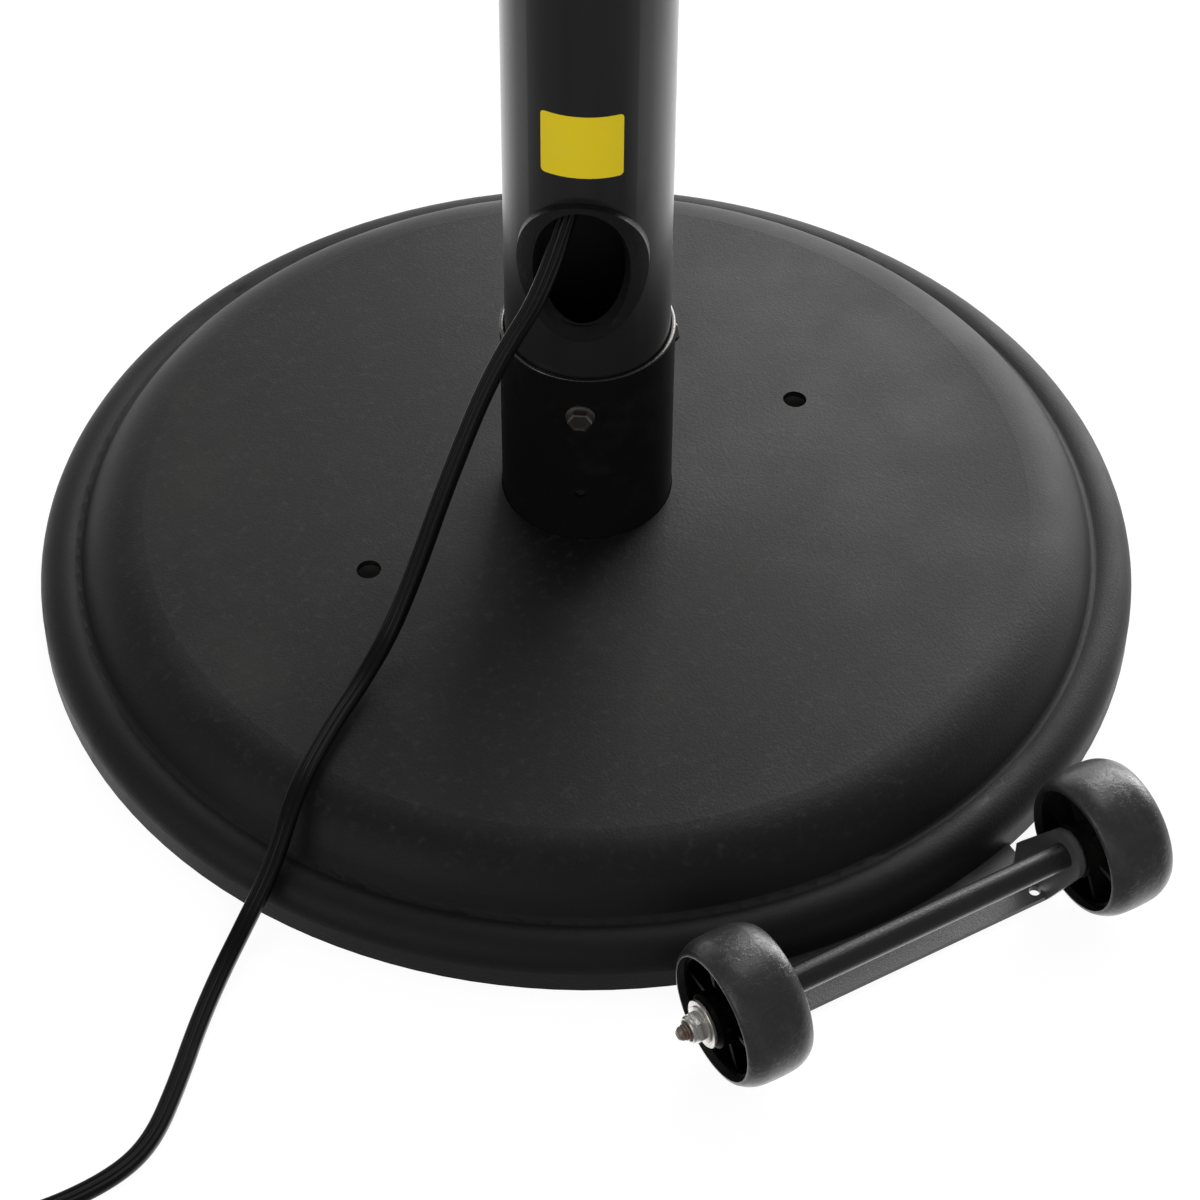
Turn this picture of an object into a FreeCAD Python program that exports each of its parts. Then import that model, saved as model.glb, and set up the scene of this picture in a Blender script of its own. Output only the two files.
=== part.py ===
import FreeCAD, Part
import math
import os
import Sketcher

"""A free-standing electric infrared patio heater, in millimetres.

The heater stands on z = 0 with its pole on the Z axis. The two transport wheels
are on the +Y side, with their axle along X, and the heating head faces -Y.
Every size is a cell of the sheet below, and the sub-parts are bound to those cells.
"""

Vector = FreeCAD.Vector
Z_AXIS = Vector(0, 0, 1)

SIZES = {
    # Base cover: rim, crease, flank, shoulder and crown, from the outside in
    "base_r": 264.0,
    "rim_round": 13.0,
    "rim_height": 24.5,
    "rim_lead": 20.0,
    "crease_round": 3.0,
    "flank_angle": 60.0,
    "flank_len": 7.0,
    "shoulder_round": 35.0,
    "crown_slope": 4.72,
    "cover_wall": 3.2,
    "cover_lift": 0.5,
    "cover_boss_in": 18.0,
    "cover_boss_r": 5.5,
    "cover_screw_r": 2.0,
    "cover_screw_head_r": 4.0,
    "cover_screw_len": 14.0,
    "cover_screws": 6,
    # Base plate, ballast and the two anchor holes
    "plate_thick": 3.0,
    "plate_gap": 1.2,
    "sink": 0.2,
    "ballast_in": 38.0,
    "ballast_height": 36.0,
    "ballast_edge": 10.0,
    "anchor_pcd": 235.0,
    "anchor_r": 5.75,
    # Foot socket, its flange and bolts
    "socket_wall": 1.8,
    "socket_gap": 0.4,
    "socket_top": 157.0,
    "flange_r": 74.0,
    "flange_thick": 5.0,
    "weld_leg": 3.0,
    "base_bolt_circle": 58.0,
    "base_bolt_r": 4.0,
    "base_bolt_head_r": 8.0,
    "base_bolts": 4,
    "base_bolt_tail": 1.2,
    "base_nut_flats": 13.0,
    "base_nut_height": 6.5,
    "thread_gap": 0.05,
    "hole_gap": 0.5,
    "socket_bolt_z": 135.0,
    "socket_bolt_r": 3.0,
    "socket_bolt_flats": 10.0,
    "socket_bolt_head": 5.0,
    "socket_bolt_rim_r": 6.8,
    "socket_bolt_rim": 1.4,
    "socket_bolts": 3,
    "peg_hole_z": 86.0,
    "peg_hole_r": 2.6,
    # Pole, cable port and grommet
    "pole_od": 76.2,
    "pole_wall": 1.5,
    "pole_seam_z": 1000.0,
    "pole_top_z": 1900.0,
    "coupler_len": 180.0,
    "coupler_wall": 2.0,
    "coupler_gap": 0.1,
    "coupler_bolt_reach": 45.0,
    "port_azimuth": 55.5,
    "port_z": 220.0,
    "port_half_h": 33.0,
    "port_half_w": 23.5,
    "grommet_gap": 0.3,
    "grommet_half_h": 38.4,
    "grommet_half_w": 29.3,
    "grommet_thick": 3.6,
    "grommet_neck": 2.2,
    "mouth_half_h": 28.3,
    "mouth_half_w": 17.6,
    "mouth_bevel": 7.0,
    # Wheel bracket, axle and wheels
    "axle_out": 30.4,
    "axle_z": 39.3,
    "axle_r": 4.0,
    "axle_tip": 126.0,
    "axle_head": 5.3,
    "bracket_thick": 2.7,
    "bracket_half": 75.0,
    "bracket_out": 23.0,
    "bracket_in": 59.0,
    "bracket_gap": 1.0,
    "ear_thick": 3.0,
    "ear_round": 12.0,
    "ear_foot": 25.0,
    "ear_heel": 14.0,
    "relief_r": 2.6,
    "bracket_screw_r": 3.0,
    "bracket_screw_head_r": 6.0,
    "bracket_screw_len": 18.0,
    "bracket_screw_in": 22.0,
    "bracket_screw_pitch": 50.0,
    "bracket_screws": 3,
    "sleeve_r": 6.0,
    "sleeve_gap": 0.2,
    "washer_r": 11.0,
    "washer_thick": 1.6,
    "wheel_gap": 0.3,
    "wheel_width": 32.2,
    "spin_gap": 0.05,
    "hub_r": 28.5,
    "hub_rim": 2.0,
    "hub_rim_width": 25.0,
    "hub_boss_r": 12.5,
    "hub_boss_out": 3.2,
    "hub_boss_bevel": 1.6,
    "hub_web": 5.0,
    "rib_thick": 2.4,
    "rib_width": 22.0,
    "ribs": 6,
    "tyre_gap": 0.1,
    "tyre_side_r": 28.8,
    "tyre_shoulder_r": 31.0,
    "tyre_shoulder_in": 1.2,
    "tyre_shoulder_round": 2.81,
    "tyre_flank_round": 15.28,
    "tyre_crown_half": 7.0,
    "tyre_crown_r": 33.95,
    "tyre_crown_round": 90.0,
    "axle_nut_flats": 13.0,
    "axle_nut_height": 4.6,
    "axle_collar_r": 6.2,
    "axle_collar": 2.2,
    # Pole cap, tilt fork and clamp knob
    "cap_thick": 6.0,
    "cap_over": 1.6,
    "cap_plug": 22.0,
    "cap_plug_wall": 3.4,
    "cap_gap": 0.2,
    "pivot_height": 84.0,
    "fork_half": 37.0,
    "fork_thick": 3.0,
    "fork_depth": 30.0,
    "fork_bolt_x": 18.0,
    "fork_bolt_r": 3.0,
    "fork_bolt_head_r": 5.5,
    "fork_bolt_head": 4.0,
    "gland_y": 25.0,
    "gland_r": 8.0,
    "gland_height": 22.0,
    "pivot_r": 4.0,
    "pivot_head_r": 8.0,
    "pivot_head": 5.0,
    "knob_r": 19.0,
    "knob_len": 20.0,
    "knob_lobe_r": 5.0,
    "knob_lobes": 6,
    # Heating head, measured from the tilt pivot
    "head_back": 50.0,
    "head_depth": 90.0,
    "head_low": 20.0,
    "head_height": 130.0,
    "head_half": 320.0,
    "head_wall": 1.6,
    "head_round": 28.0,
    "head_lip": 8.0,
    "slot_len": 40.0,
    "slot_width": 6.0,
    "slot_end": 89.0,
    "slots": 8,
    "slot_in": 52.0,
    "cap_end_thick": 5.0,
    "cap_end_over": 1.5,
    "end_screw_head_r": 3.6,
    "end_screw_head": 2.4,
    "end_screw_in": 15.0,
    "lug_gap": 0.3,
    "lug_thick": 3.0,
    "lug_height": 76.0,
    "lug_round": 14.0,
    "lug_screw_r": 2.5,
    "lug_screw_head_r": 4.6,
    "lug_screw_head": 2.8,
    "lug_screw_x": 20.0,
    "reflector_r": 53.0,
    "reflector_mouth": 51.0,
    "reflector_wall": 1.0,
    "reflector_lip": 9.0,
    "lamp_r": 6.0,
    "lamp_wall": 1.0,
    "lamp_in": 28.0,
    "lamp_gap": 0.5,
    "ribbon_width": 5.0,
    "ribbon_thick": 0.6,
    "holder_len": 19.0,
    "holder_height": 30.0,
    "holder_depth": 24.0,
    "guard_rod_r": 2.0,
    "guard_wire_r": 1.5,
    "guard_rise": 58.0,
    "guard_end": 32.0,
    "guard_wires": 17,
    "guard_gap": 0.2,
    # Terminal box and switch on the back of the head
    "box_x": 80.0,
    "box_width": 120.0,
    "box_depth": 42.0,
    "box_low": 5.0,
    "box_height": 78.0,
    "box_wall": 2.5,
    "box_lid": 2.5,
    "lid_screw_r": 1.6,
    "lid_screw_head_r": 3.0,
    "lid_screw_head": 2.0,
    "lid_screw_in": 7.0,
    "block_width": 60.0,
    "block_height": 22.0,
    "block_depth": 18.0,
    "switch_x": 32.0,
    "switch_width": 15.0,
    "switch_height": 21.0,
    "switch_depth": 16.0,
    "switch_rim": 1.5,
    "rocker_gap": 0.4,
    "rocker_width": 10.0,
    "rocker_proud": 4.0,
    # Mains cord, coil, tie and plug
    "cord_d": 8.6,
    "coil_x": 208.0,
    "coil_y": 150.2,
    "coil_lead": 28.4,
    "cord_azimuth": 27.6,
    "coil_in_r": 37.1,
    "coil_pitch": 9.3,
    "coil_turns": 4.5,
    "coil_lift": 1.3,
    "tie_thick": 0.8,
    "tie_gap": 0.6,
    "tie_width": 9.0,
    "plug_lead": 26.0,
    "relief_len": 30.0,
    "plug_relief_r": 7.5,
    "plug_len": 30.0,
    "plug_width": 26.0,
    "plug_lift": 0.2,
    "plug_round": 5.0,
    "blade_gap": 12.7,
    "blade_width": 6.3,
    "blade_thick": 1.5,
    "blade_len": 17.0,
    "ground_r": 2.4,
    "ground_len": 20.0,
    "ground_offset": 7.0,
}


class Size:
    """A number together with the sheet expression that gives it."""

    def __init__(self, value, text):
        self.value = float(value)
        self.text = text

    def __add__(self, other):
        other = as_size(other)
        return Size(self.value + other.value, f"({self.text} + {other.text})")

    def __sub__(self, other):
        other = as_size(other)
        return Size(self.value - other.value, f"({self.text} - {other.text})")

    def __mul__(self, other):
        other = as_size(other)
        return Size(self.value * other.value, f"({self.text} * {other.text})")

    def __truediv__(self, other):
        other = as_size(other)
        return Size(self.value / other.value, f"({self.text} / {other.text})")

    def __radd__(self, other):
        return as_size(other) + self

    def __rsub__(self, other):
        return as_size(other) - self

    def __rmul__(self, other):
        return as_size(other) * self

    def __neg__(self):
        return Size(-self.value, f"(0 - {self.text})")


def as_size(number):
    """Wrap a bare number, and leave a Size as it is."""
    return number if isinstance(number, Size) else Size(number, repr(float(number)))


def sin_of(angle):
    return Size(math.sin(math.radians(angle.value)), f"sin({angle.text})")


def cos_of(angle):
    return Size(math.cos(math.radians(angle.value)), f"cos({angle.text})")


def root_of(square):
    return Size(math.sqrt(square.value), f"sqrt({square.text})")


class SizeSheet:
    """The spreadsheet of driving sizes, read as attributes."""

    def __init__(self, document, table):
        self._sheet = document.addObject("Spreadsheet::Sheet", "Sizes")
        self._table = table
        for row, (alias, number) in enumerate(table.items(), start=1):
            self._sheet.set(f"A{row}", alias)
            self._sheet.set(f"B{row}", str(number))
            self._sheet.setAlias(f"B{row}", alias)

    def __getattr__(self, alias):
        return Size(self._table[alias], f"Sizes.{alias}")


doc = FreeCAD.newDocument("PatioHeater")
S = SizeSheet(doc, SIZES)
doc.recompute()
nodes = {}


class Outline:
    """A sketch on one of its body's origin planes, with every size bound to the sheet."""

    def __init__(self, body, role, name, height=None):
        self.body = body
        self.sketch = body.newObject("Sketcher::SketchObject", name)
        self.sketch.AttachmentSupport = [(origin_feature(body, role), "")]
        self.sketch.MapMode = "FlatFace"
        if height is not None:
            bind(self.sketch, ".AttachmentOffset.Base.z", height)

    def hold(self, kind, references, size):
        """Add a dimension, bound to the sheet where its size comes from there."""
        index = self.sketch.addConstraint(Sketcher.Constraint(kind, *references, size.value))
        if "Sizes." in size.text:
            self.sketch.setExpression(f"Constraints[{index}]", size.text)

    def pin(self, geometry, point, x, y):
        """Hold a point of the sketch at x, y from the sketch's origin."""
        for kind, size, axis in (("DistanceX", as_size(x), -2), ("DistanceY", as_size(y), -1)):
            if size.value == 0.0 and "Sizes." not in size.text:
                self.sketch.addConstraint(Sketcher.Constraint("PointOnObject", geometry, point, axis))
            else:
                self.hold(kind, (-1, 1, geometry, point), size)

    def loop(self, corners):
        """Draw a closed loop through corners (x, y) or (x, y, radius).

        A radius makes the side that arrives at the corner an arc, which turns left
        where it is positive and right where it is negative.
        """
        first = self.sketch.GeometryCount
        ends = []
        count = len(corners)
        for index in range(count):
            start = [as_size(n).value for n in corners[index - 1][:2]]
            end = [as_size(n).value for n in corners[index][:2]]
            p, q = Vector(*start, 0), Vector(*end, 0)
            if len(corners[index]) == 2:
                self.sketch.addGeometry(Part.LineSegment(p, q))
                ends.append((1, 2))
                continue
            radius = as_size(corners[index][2])
            left = radius.value > 0
            arc = minor_arc(p, q, abs(radius.value), left)
            self.sketch.addGeometry(arc)
            ends.append((1, 2) if left else (2, 1))
            self.hold("Radius", (first + index,), radius if left else -radius)
        for index in range(count):
            here = first + index
            after = first + (index + 1) % count
            joint = (here, ends[index][1], after, ends[(index + 1) % count][0])
            self.sketch.addConstraint(Sketcher.Constraint("Coincident", *joint))
            self.pin(here, ends[index][1], *corners[index][:2])
        return self

    def box(self, x0, y0, x1, y1):
        """Draw a rectangle between two corners."""
        return self.loop([(x0, y0), (x1, y0), (x1, y1), (x0, y1)])

    def circle(self, x, y, radius):
        radius = as_size(radius)
        centre = Vector(as_size(x).value, as_size(y).value, 0)
        index = self.sketch.addGeometry(Part.Circle(centre, Z_AXIS, radius.value))
        self.hold("Radius", (index,), radius)
        self.pin(index, 3, x, y)
        return self

    def hexagon(self, x, y, flats):
        """Draw a hexagon of that width across its flats."""
        corner = flats / (2 * math.cos(math.radians(30)))
        turns = [math.radians(60 * k) for k in range(6)]
        return self.loop([(x + corner * math.cos(a), y + corner * math.sin(a)) for a in turns])

    def upright_ellipse(self, x, y, half_w, half_h):
        """Draw an ellipse that is taller than it is wide."""
        centre = Vector(as_size(x).value, as_size(y).value, 0)
        top = centre + Vector(0, half_h.value, 0)
        side = centre + Vector(half_w.value, 0, 0)
        index = self.sketch.addGeometry(Part.Ellipse(top, side, centre))
        self.sketch.exposeInternalGeometry(index)
        self.pin(index, 3, x, y)
        self.sketch.addConstraint(Sketcher.Constraint("Vertical", index + 1))
        self.hold("Distance", (index + 1,), 2 * half_h)
        self.hold("Distance", (index + 2,), 2 * half_w)
        return self

    def upright_axis(self, x):
        """Add a construction line that a revolution can turn about."""
        place = as_size(x)
        line = Part.LineSegment(Vector(place.value, 0, 0), Vector(place.value, 10, 0))
        index = self.sketch.addGeometry(line, True)
        self.pin(index, 1, x, 0)
        self.pin(index, 2, x, 10)
        return self


def minor_arc(p, q, radius, left):
    """The short arc from p to q, kept as a counter-clockwise curve."""
    chord = q - p
    height = math.sqrt(max(radius ** 2 - chord.Length ** 2 / 4, 0.0))
    normal = Vector(-chord.y, chord.x, 0).normalize() * (height if left else -height)
    centre = (p + q) * 0.5 + normal
    start, end = (p, q) if left else (q, p)
    angles = [math.atan2(point.y - centre.y, point.x - centre.x) for point in (start, end)]
    if angles[1] < angles[0]:
        angles[1] += 2 * math.pi
    return Part.ArcOfCircle(Part.Circle(centre, Z_AXIS, radius), *angles)


def bind(thing, prop, size):
    """Tie a property to the sheet."""
    thing.setExpression(prop, as_size(size).text)


def origin_feature(body, role):
    return next(f for f in body.Origin.OriginFeatures if f.Role == role)


def new_body(label):
    body = doc.addObject("PartDesign::Body", label)
    body.Label = label
    nodes[label] = body
    return body


def place(thing, x=0, y=0, z=0, turn=None):
    """Put a sub-part at x, y, z, turned about Z by an angle in degrees."""
    if turn is not None:
        thing.Placement = FreeCAD.Placement(Vector(), FreeCAD.Rotation(Z_AXIS, turn.value))
        bind(thing, "Placement.Rotation.Angle", turn)
    for axis, size in (("x", x), ("y", y), ("z", z)):
        bind(thing, f"Placement.Base.{axis}", size)


def extrude(kind, outline, name, length, both, back):
    feature = outline.body.newObject(f"PartDesign::{kind}", name)
    feature.Profile = outline.sketch
    if length is None:
        feature.Type = "ThroughAll"
    else:
        bind(feature, "Length", length)
    if both:
        feature.SideType = "Symmetric"
    feature.Reversed = back
    return feature


def pad(outline, name, length, both=False, back=False):
    return extrude("Pad", outline, name, length, both, back)


def pocket(outline, name, length=None, both=False, back=False):
    return extrude("Pocket", outline, name, length, both, back)


def revolve(outline, name, axis="V_Axis"):
    feature = outline.body.newObject("PartDesign::Revolution", name)
    feature.Profile = outline.sketch
    feature.ReferenceAxis = (outline.sketch, [axis])
    feature.Angle = 360
    return feature


def ring_of(body, features, count, role="Z_Axis"):
    """Repeat features evenly around one of the body's axes."""
    pattern = body.newObject("PartDesign::PolarPattern", "Ring")
    pattern.Originals = features
    pattern.Axis = (origin_feature(body, role), [""])
    pattern.Angle = 360
    bind(pattern, "Occurrences", count)
    body.Tip = pattern
    return pattern


def row_of(body, features, count, pitch, role="X_Axis"):
    """Repeat features at a pitch along one of the body's axes."""
    pattern = body.newObject("PartDesign::LinearPattern", "Row")
    pattern.Originals = features
    pattern.Direction = (origin_feature(body, role), [""])
    pattern.Mode = "Spacing"
    bind(pattern, "Offset", pitch)
    bind(pattern, "Occurrences", count)
    body.Tip = pattern
    return pattern


def mirror_of(body, features, role):
    """Repeat features on the other side of one of the body's planes."""
    pattern = body.newObject("PartDesign::Mirrored", "Mirror")
    pattern.Originals = features
    pattern.MirrorPlane = (origin_feature(body, role), [""])
    body.Tip = pattern
    return pattern


def turned(label, corners, axis="V_Axis"):
    """A body turned from one closed profile in the XZ plane."""
    body = new_body(label)
    revolve(Outline(body, "XZ_Plane", "Profile").loop(corners), "Turned", axis)
    return body


# Heights and radii that several sub-parts share
plate_r = S.base_r - S.cover_wall - S.plate_gap
ballast_top = S.plate_thick + S.ballast_height
flange_top = ballast_top + S.flange_thick
pole_r = S.pole_od / 2
pole_bore_r = pole_r - S.pole_wall
socket_bore_r = pole_r + S.socket_gap
socket_r = socket_bore_r + S.socket_wall
cap_top = S.pole_top_z + S.cap_thick
pivot_z = cap_top + S.pivot_height
hub_centre_x = S.bracket_half + S.washer_thick + S.wheel_gap + S.wheel_width / 2
axle_bore_r = S.axle_r + S.spin_gap
head_front = -(S.head_back + S.head_depth)
head_top = S.head_height - S.head_low
head_mid_z = S.head_height / 2 - S.head_low
lamp_y = head_front + S.lamp_in
holder_outer = S.head_half
anchor_x = S.anchor_pcd / 2
gland_flats = S.gland_r * root_of(as_size(3))
cover_boss_circle = S.base_r - S.cover_boss_in
ballast_r = S.base_r - S.ballast_in
axle_y = S.base_r + S.axle_out
bracket_front = S.base_r + S.bracket_out
bracket_back = S.base_r - S.bracket_in
reflector_half = S.head_half - S.holder_len - S.reflector_wall
slot_pitch = 2 * (S.head_half - S.slot_end) / (S.slots - 1)
guard_pitch = 2 * (S.head_half - S.guard_end) / (S.guard_wires - 1)
rim_x = S.base_r * cos_of(S.cord_azimuth)
rim_y = S.base_r * sin_of(S.cord_azimuth)
coil_x = rim_x + S.coil_x
coil_y = rim_y + S.coil_y


def add_base_cover():
    """The moulded cover: one profile of tangent arcs, with its inside a wall away."""
    wall = S.cover_wall
    sin_lead, cos_lead = sin_of(S.rim_lead), cos_of(S.rim_lead)
    sin_flank, cos_flank = sin_of(S.flank_angle), cos_of(S.flank_angle)
    sin_crown, cos_crown = sin_of(S.crown_slope), cos_of(S.crown_slope)
    rim_r, rim_z = S.base_r - S.rim_round, S.rim_height - S.rim_round
    crease_reach = S.rim_round + S.crease_round
    crease_r, crease_z = rim_r - crease_reach * sin_lead, rim_z + crease_reach * cos_lead
    flank_reach = S.crease_round + S.shoulder_round
    shoulder_r = crease_r - flank_reach * sin_flank - S.flank_len * cos_flank
    shoulder_z = crease_z - flank_reach * cos_flank + S.flank_len * sin_flank
    crown_r = shoulder_r / sin_crown + S.shoulder_round
    crown_z = shoulder_z - shoulder_r * cos_crown / sin_crown
    hole_r = socket_r + S.socket_gap

    def side(offset):
        """Corners from the pole hole out to the foot of the wall, offset inwards."""
        rim, shoulder = S.rim_round - offset, S.shoulder_round - offset
        crease, crown = S.crease_round + offset, crown_r - offset
        hole_z = crown_z + root_of(crown * crown - hole_r * hole_r)
        return [
            (hole_r, hole_z),
            (shoulder_r + shoulder * sin_crown, shoulder_z + shoulder * cos_crown, crown),
            (shoulder_r + shoulder * sin_flank, shoulder_z + shoulder * cos_flank, shoulder),
            (crease_r - crease * sin_flank, crease_z - crease * cos_flank),
            (rim_r - rim * sin_lead, rim_z + rim * cos_lead, crease),
            (rim_r + rim, rim_z, rim),
            (rim_r + rim, S.cover_lift),
        ]

    outer, inner = side(as_size(0)), side(wall)
    turns = [corner[2] if len(corner) == 3 else None for corner in outer]
    signs = [0, -1, -1, 0, 1, -1, 0]
    corners = [outer[0]]
    for corner, turn, sign in zip(outer[1:], turns[1:], signs[1:]):
        corners.append(corner if turn is None else (*corner[:2], turn if sign > 0 else -turn))
    corners.append(inner[-1])
    for index in range(len(inner) - 1, 0, -1):
        arrive = inner[index - 1][:2]
        if signs[index] == 0:
            corners.append(arrive)
        else:
            corners.append((*arrive, -inner[index][2] if signs[index] > 0 else inner[index][2]))
    body = new_body("base_cover")
    revolve(Outline(body, "XZ_Plane", "Shell").loop(corners), "Moulding")
    boss_top = S.rim_height - wall / 2
    boss_ring = Outline(body, "XY_Plane", "Boss", S.plate_thick)
    boss_ring.circle(cover_boss_circle, 0, S.cover_boss_r)
    boss = pad(boss_ring, "ScrewBoss", boss_top - S.plate_thick)
    pilot_hole = Outline(body, "XY_Plane", "Pilot", S.cover_screw_len + S.thread_gap)
    pilot_hole.circle(cover_boss_circle, 0, S.cover_screw_r + S.thread_gap)
    pilot = pocket(pilot_hole, "BossPilot", S.cover_screw_len)
    ring_of(body, [boss, pilot], S.cover_screws)
    anchors = Outline(body, "XY_Plane", "Anchors", crown_z + crown_r)
    for x in (anchor_x, -anchor_x):
        anchors.circle(x, 0, S.anchor_r)
    pocket(anchors, "AnchorHoles", S.rim_height)
    notch_half = S.bracket_half + S.bracket_gap
    notch = Outline(body, "XZ_Plane", "Notch")
    notch.box(-notch_half, 0, notch_half, S.plate_thick + S.bracket_gap)
    pocket(notch, "BracketNotch", S.base_r + S.bracket_gap, back=False)


def add_base_plate():
    """The steel plate that the heater stands on, cut out where the wheel bracket lies."""
    body = new_body("base_plate")
    pad(Outline(body, "XY_Plane", "Disc").circle(0, 0, plate_r), "Plate", S.plate_thick)
    screw = Outline(body, "XY_Plane", "ScrewHole", S.plate_thick)
    screw.circle(cover_boss_circle, 0, S.cover_screw_r + S.hole_gap)
    screw_hole = pocket(screw, "CoverScrewHole")
    sink = Outline(body, "XY_Plane", "ScrewSink", S.plate_thick / 2)
    sink.circle(cover_boss_circle, 0, S.cover_screw_head_r + S.hole_gap)
    screw_sink = pocket(sink, "CoverScrewSink", S.plate_thick)
    ring_of(body, [screw_hole, screw_sink], S.cover_screws)
    bolt = Outline(body, "XY_Plane", "BoltHole", S.plate_thick)
    bolt.circle(*base_bolt_place(), S.base_bolt_r + S.hole_gap)
    bolt_hole = pocket(bolt, "BaseBoltHole")
    bolt_head = Outline(body, "XY_Plane", "BoltSink", S.plate_thick / 2)
    bolt_head.circle(*base_bolt_place(), S.base_bolt_head_r + S.hole_gap)
    bolt_sink = pocket(bolt_head, "BaseBoltSink", S.plate_thick)
    ring_of(body, [bolt_hole, bolt_sink], S.base_bolts)
    anchors = Outline(body, "XY_Plane", "Anchors", S.plate_thick)
    for x in (anchor_x, -anchor_x):
        anchors.circle(x, 0, S.anchor_r)
    pocket(anchors, "AnchorHoles")
    cut_half = S.bracket_half + S.bracket_gap
    cut = Outline(body, "XY_Plane", "BracketCut", S.plate_thick)
    cut.box(-cut_half, bracket_back - S.bracket_gap, cut_half, S.base_r)
    pocket(cut, "BracketBay")


def add_ballast():
    """The cast weight between the plate and the cover."""
    edge = S.ballast_edge
    corners = [
        (0, S.plate_thick),
        (ballast_r, S.plate_thick),
        (ballast_r, ballast_top - edge),
        (ballast_r - edge, ballast_top),
        (0, ballast_top),
    ]
    body = turned("ballast", corners)
    bolt = Outline(body, "XY_Plane", "BoltHole", ballast_top)
    bolt.circle(*base_bolt_place(), S.base_bolt_r + S.hole_gap)
    ring_of(body, [pocket(bolt, "BaseBoltHole")], S.base_bolts)
    anchors = Outline(body, "XY_Plane", "Anchors", ballast_top)
    for x in (anchor_x, -anchor_x):
        anchors.circle(x, 0, S.anchor_r)
    pocket(anchors, "AnchorHoles")
    inserts = Outline(body, "XY_Plane", "Inserts", S.plate_thick)
    for x in bracket_screw_places():
        inserts.circle(x, bracket_back + S.bracket_screw_in - S.bracket_gap, insert_r())
    pocket(inserts, "ScrewInserts", S.bracket_screw_len, back=True)


def base_bolt_place():
    """The first base bolt, which stands under the pole's cable port."""
    return S.base_bolt_circle * cos_of(S.port_azimuth), S.base_bolt_circle * sin_of(S.port_azimuth)


def insert_r():
    return S.bracket_screw_r + S.thread_gap


def bracket_screw_places():
    """The X places of the bracket's screws, evenly about the middle."""
    count = int(S.bracket_screws.value)
    return [S.bracket_screw_pitch * (k - (count - 1) / 2) for k in range(count)]


def add_foot_socket():
    """The welded socket: a flange under the cover and the tube that takes the pole."""
    leg = S.weld_leg
    corners = [
        (0, ballast_top),
        (S.flange_r, ballast_top),
        (S.flange_r, flange_top),
        (socket_r + leg, flange_top),
        (socket_r, flange_top + leg),
        (socket_r, S.socket_top),
        (socket_bore_r, S.socket_top),
        (socket_bore_r, flange_top),
        (0, flange_top),
    ]
    body = turned("foot_socket", corners)
    base = Outline(body, "XY_Plane", "BoltHole", flange_top)
    base.circle(S.base_bolt_circle, 0, S.base_bolt_r + S.hole_gap)
    holes = pocket(base, "BaseBoltHole")
    ring_of(body, [holes], S.base_bolts)
    wall_holes = Outline(body, "YZ_Plane", "WallHoles", socket_r + leg)
    wall_holes.circle(0, S.socket_bolt_z, S.socket_bolt_r + S.hole_gap)
    cut = pocket(wall_holes, "SocketBoltHole", socket_r)
    pegs = Outline(body, "YZ_Plane", "PegHole", socket_r + leg)
    pegs.circle(0, S.peg_hole_z, S.peg_hole_r)
    peg = pocket(pegs, "AlignHole", socket_r)
    ring_of(body, [cut, peg], S.socket_bolts)
    place(body, turn=S.port_azimuth)


def add_base_fasteners():
    """Countersunk base bolts with their nuts, and the screws that hold the cover."""
    head_top_z = S.plate_thick / 2
    place_r = S.base_bolt_circle
    bolt_end = flange_top + S.base_nut_height + S.base_bolt_tail
    bolts = new_body("base_bolts")
    profile = Outline(bolts, "XZ_Plane", "Bolt").upright_axis(place_r)
    profile.loop([
        (place_r, S.sink),
        (place_r + S.base_bolt_head_r, S.sink),
        (place_r + S.base_bolt_head_r, head_top_z),
        (place_r + S.base_bolt_r, head_top_z),
        (place_r + S.base_bolt_r, bolt_end),
        (place_r, bolt_end),
    ])
    ring_of(bolts, [revolve(profile, "Turned", "Axis0")], S.base_bolts)
    place(bolts, turn=S.port_azimuth)
    nuts = new_body("base_nuts")
    nut = Outline(nuts, "XY_Plane", "Nut", flange_top)
    nut.hexagon(place_r, 0, S.base_nut_flats)
    nut.circle(place_r, 0, S.base_bolt_r + S.thread_gap)
    ring_of(nuts, [pad(nut, "Hex", S.base_nut_height)], S.base_bolts)
    place(nuts, turn=S.port_azimuth)
    screws = new_body("cover_screws")
    at_r = cover_boss_circle
    profile = Outline(screws, "XZ_Plane", "Screw").upright_axis(at_r)
    profile.loop([
        (at_r, S.sink),
        (at_r + S.cover_screw_head_r, S.sink),
        (at_r + S.cover_screw_head_r, head_top_z),
        (at_r + S.cover_screw_r, head_top_z),
        (at_r + S.cover_screw_r, S.cover_screw_len),
        (at_r, S.cover_screw_len),
    ])
    ring_of(screws, [revolve(profile, "Turned", "Axis0")], S.cover_screws)


def add_wall_bolts(label, seat_r, inner_r, heights, count):
    """Flanged hex bolts that run radially through a tube wall."""
    body = new_body(label)
    rim_top = seat_r + S.socket_bolt_rim
    features = []
    for index, height in enumerate(heights):
        rim = Outline(body, "YZ_Plane", f"Rim{index}", seat_r)
        rim.circle(0, height, S.socket_bolt_rim_r)
        features.append(pad(rim, f"Flange{index}", S.socket_bolt_rim))
        head = Outline(body, "YZ_Plane", f"Head{index}", rim_top)
        head.hexagon(0, height, S.socket_bolt_flats)
        features.append(pad(head, f"Hex{index}", S.socket_bolt_head - S.socket_bolt_rim))
        shank = Outline(body, "YZ_Plane", f"Shank{index}", seat_r)
        shank.circle(0, height, S.socket_bolt_r)
        features.append(pad(shank, f"Stem{index}", seat_r - inner_r, back=True))
    ring_of(body, features, count)
    place(body, turn=S.port_azimuth)


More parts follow.
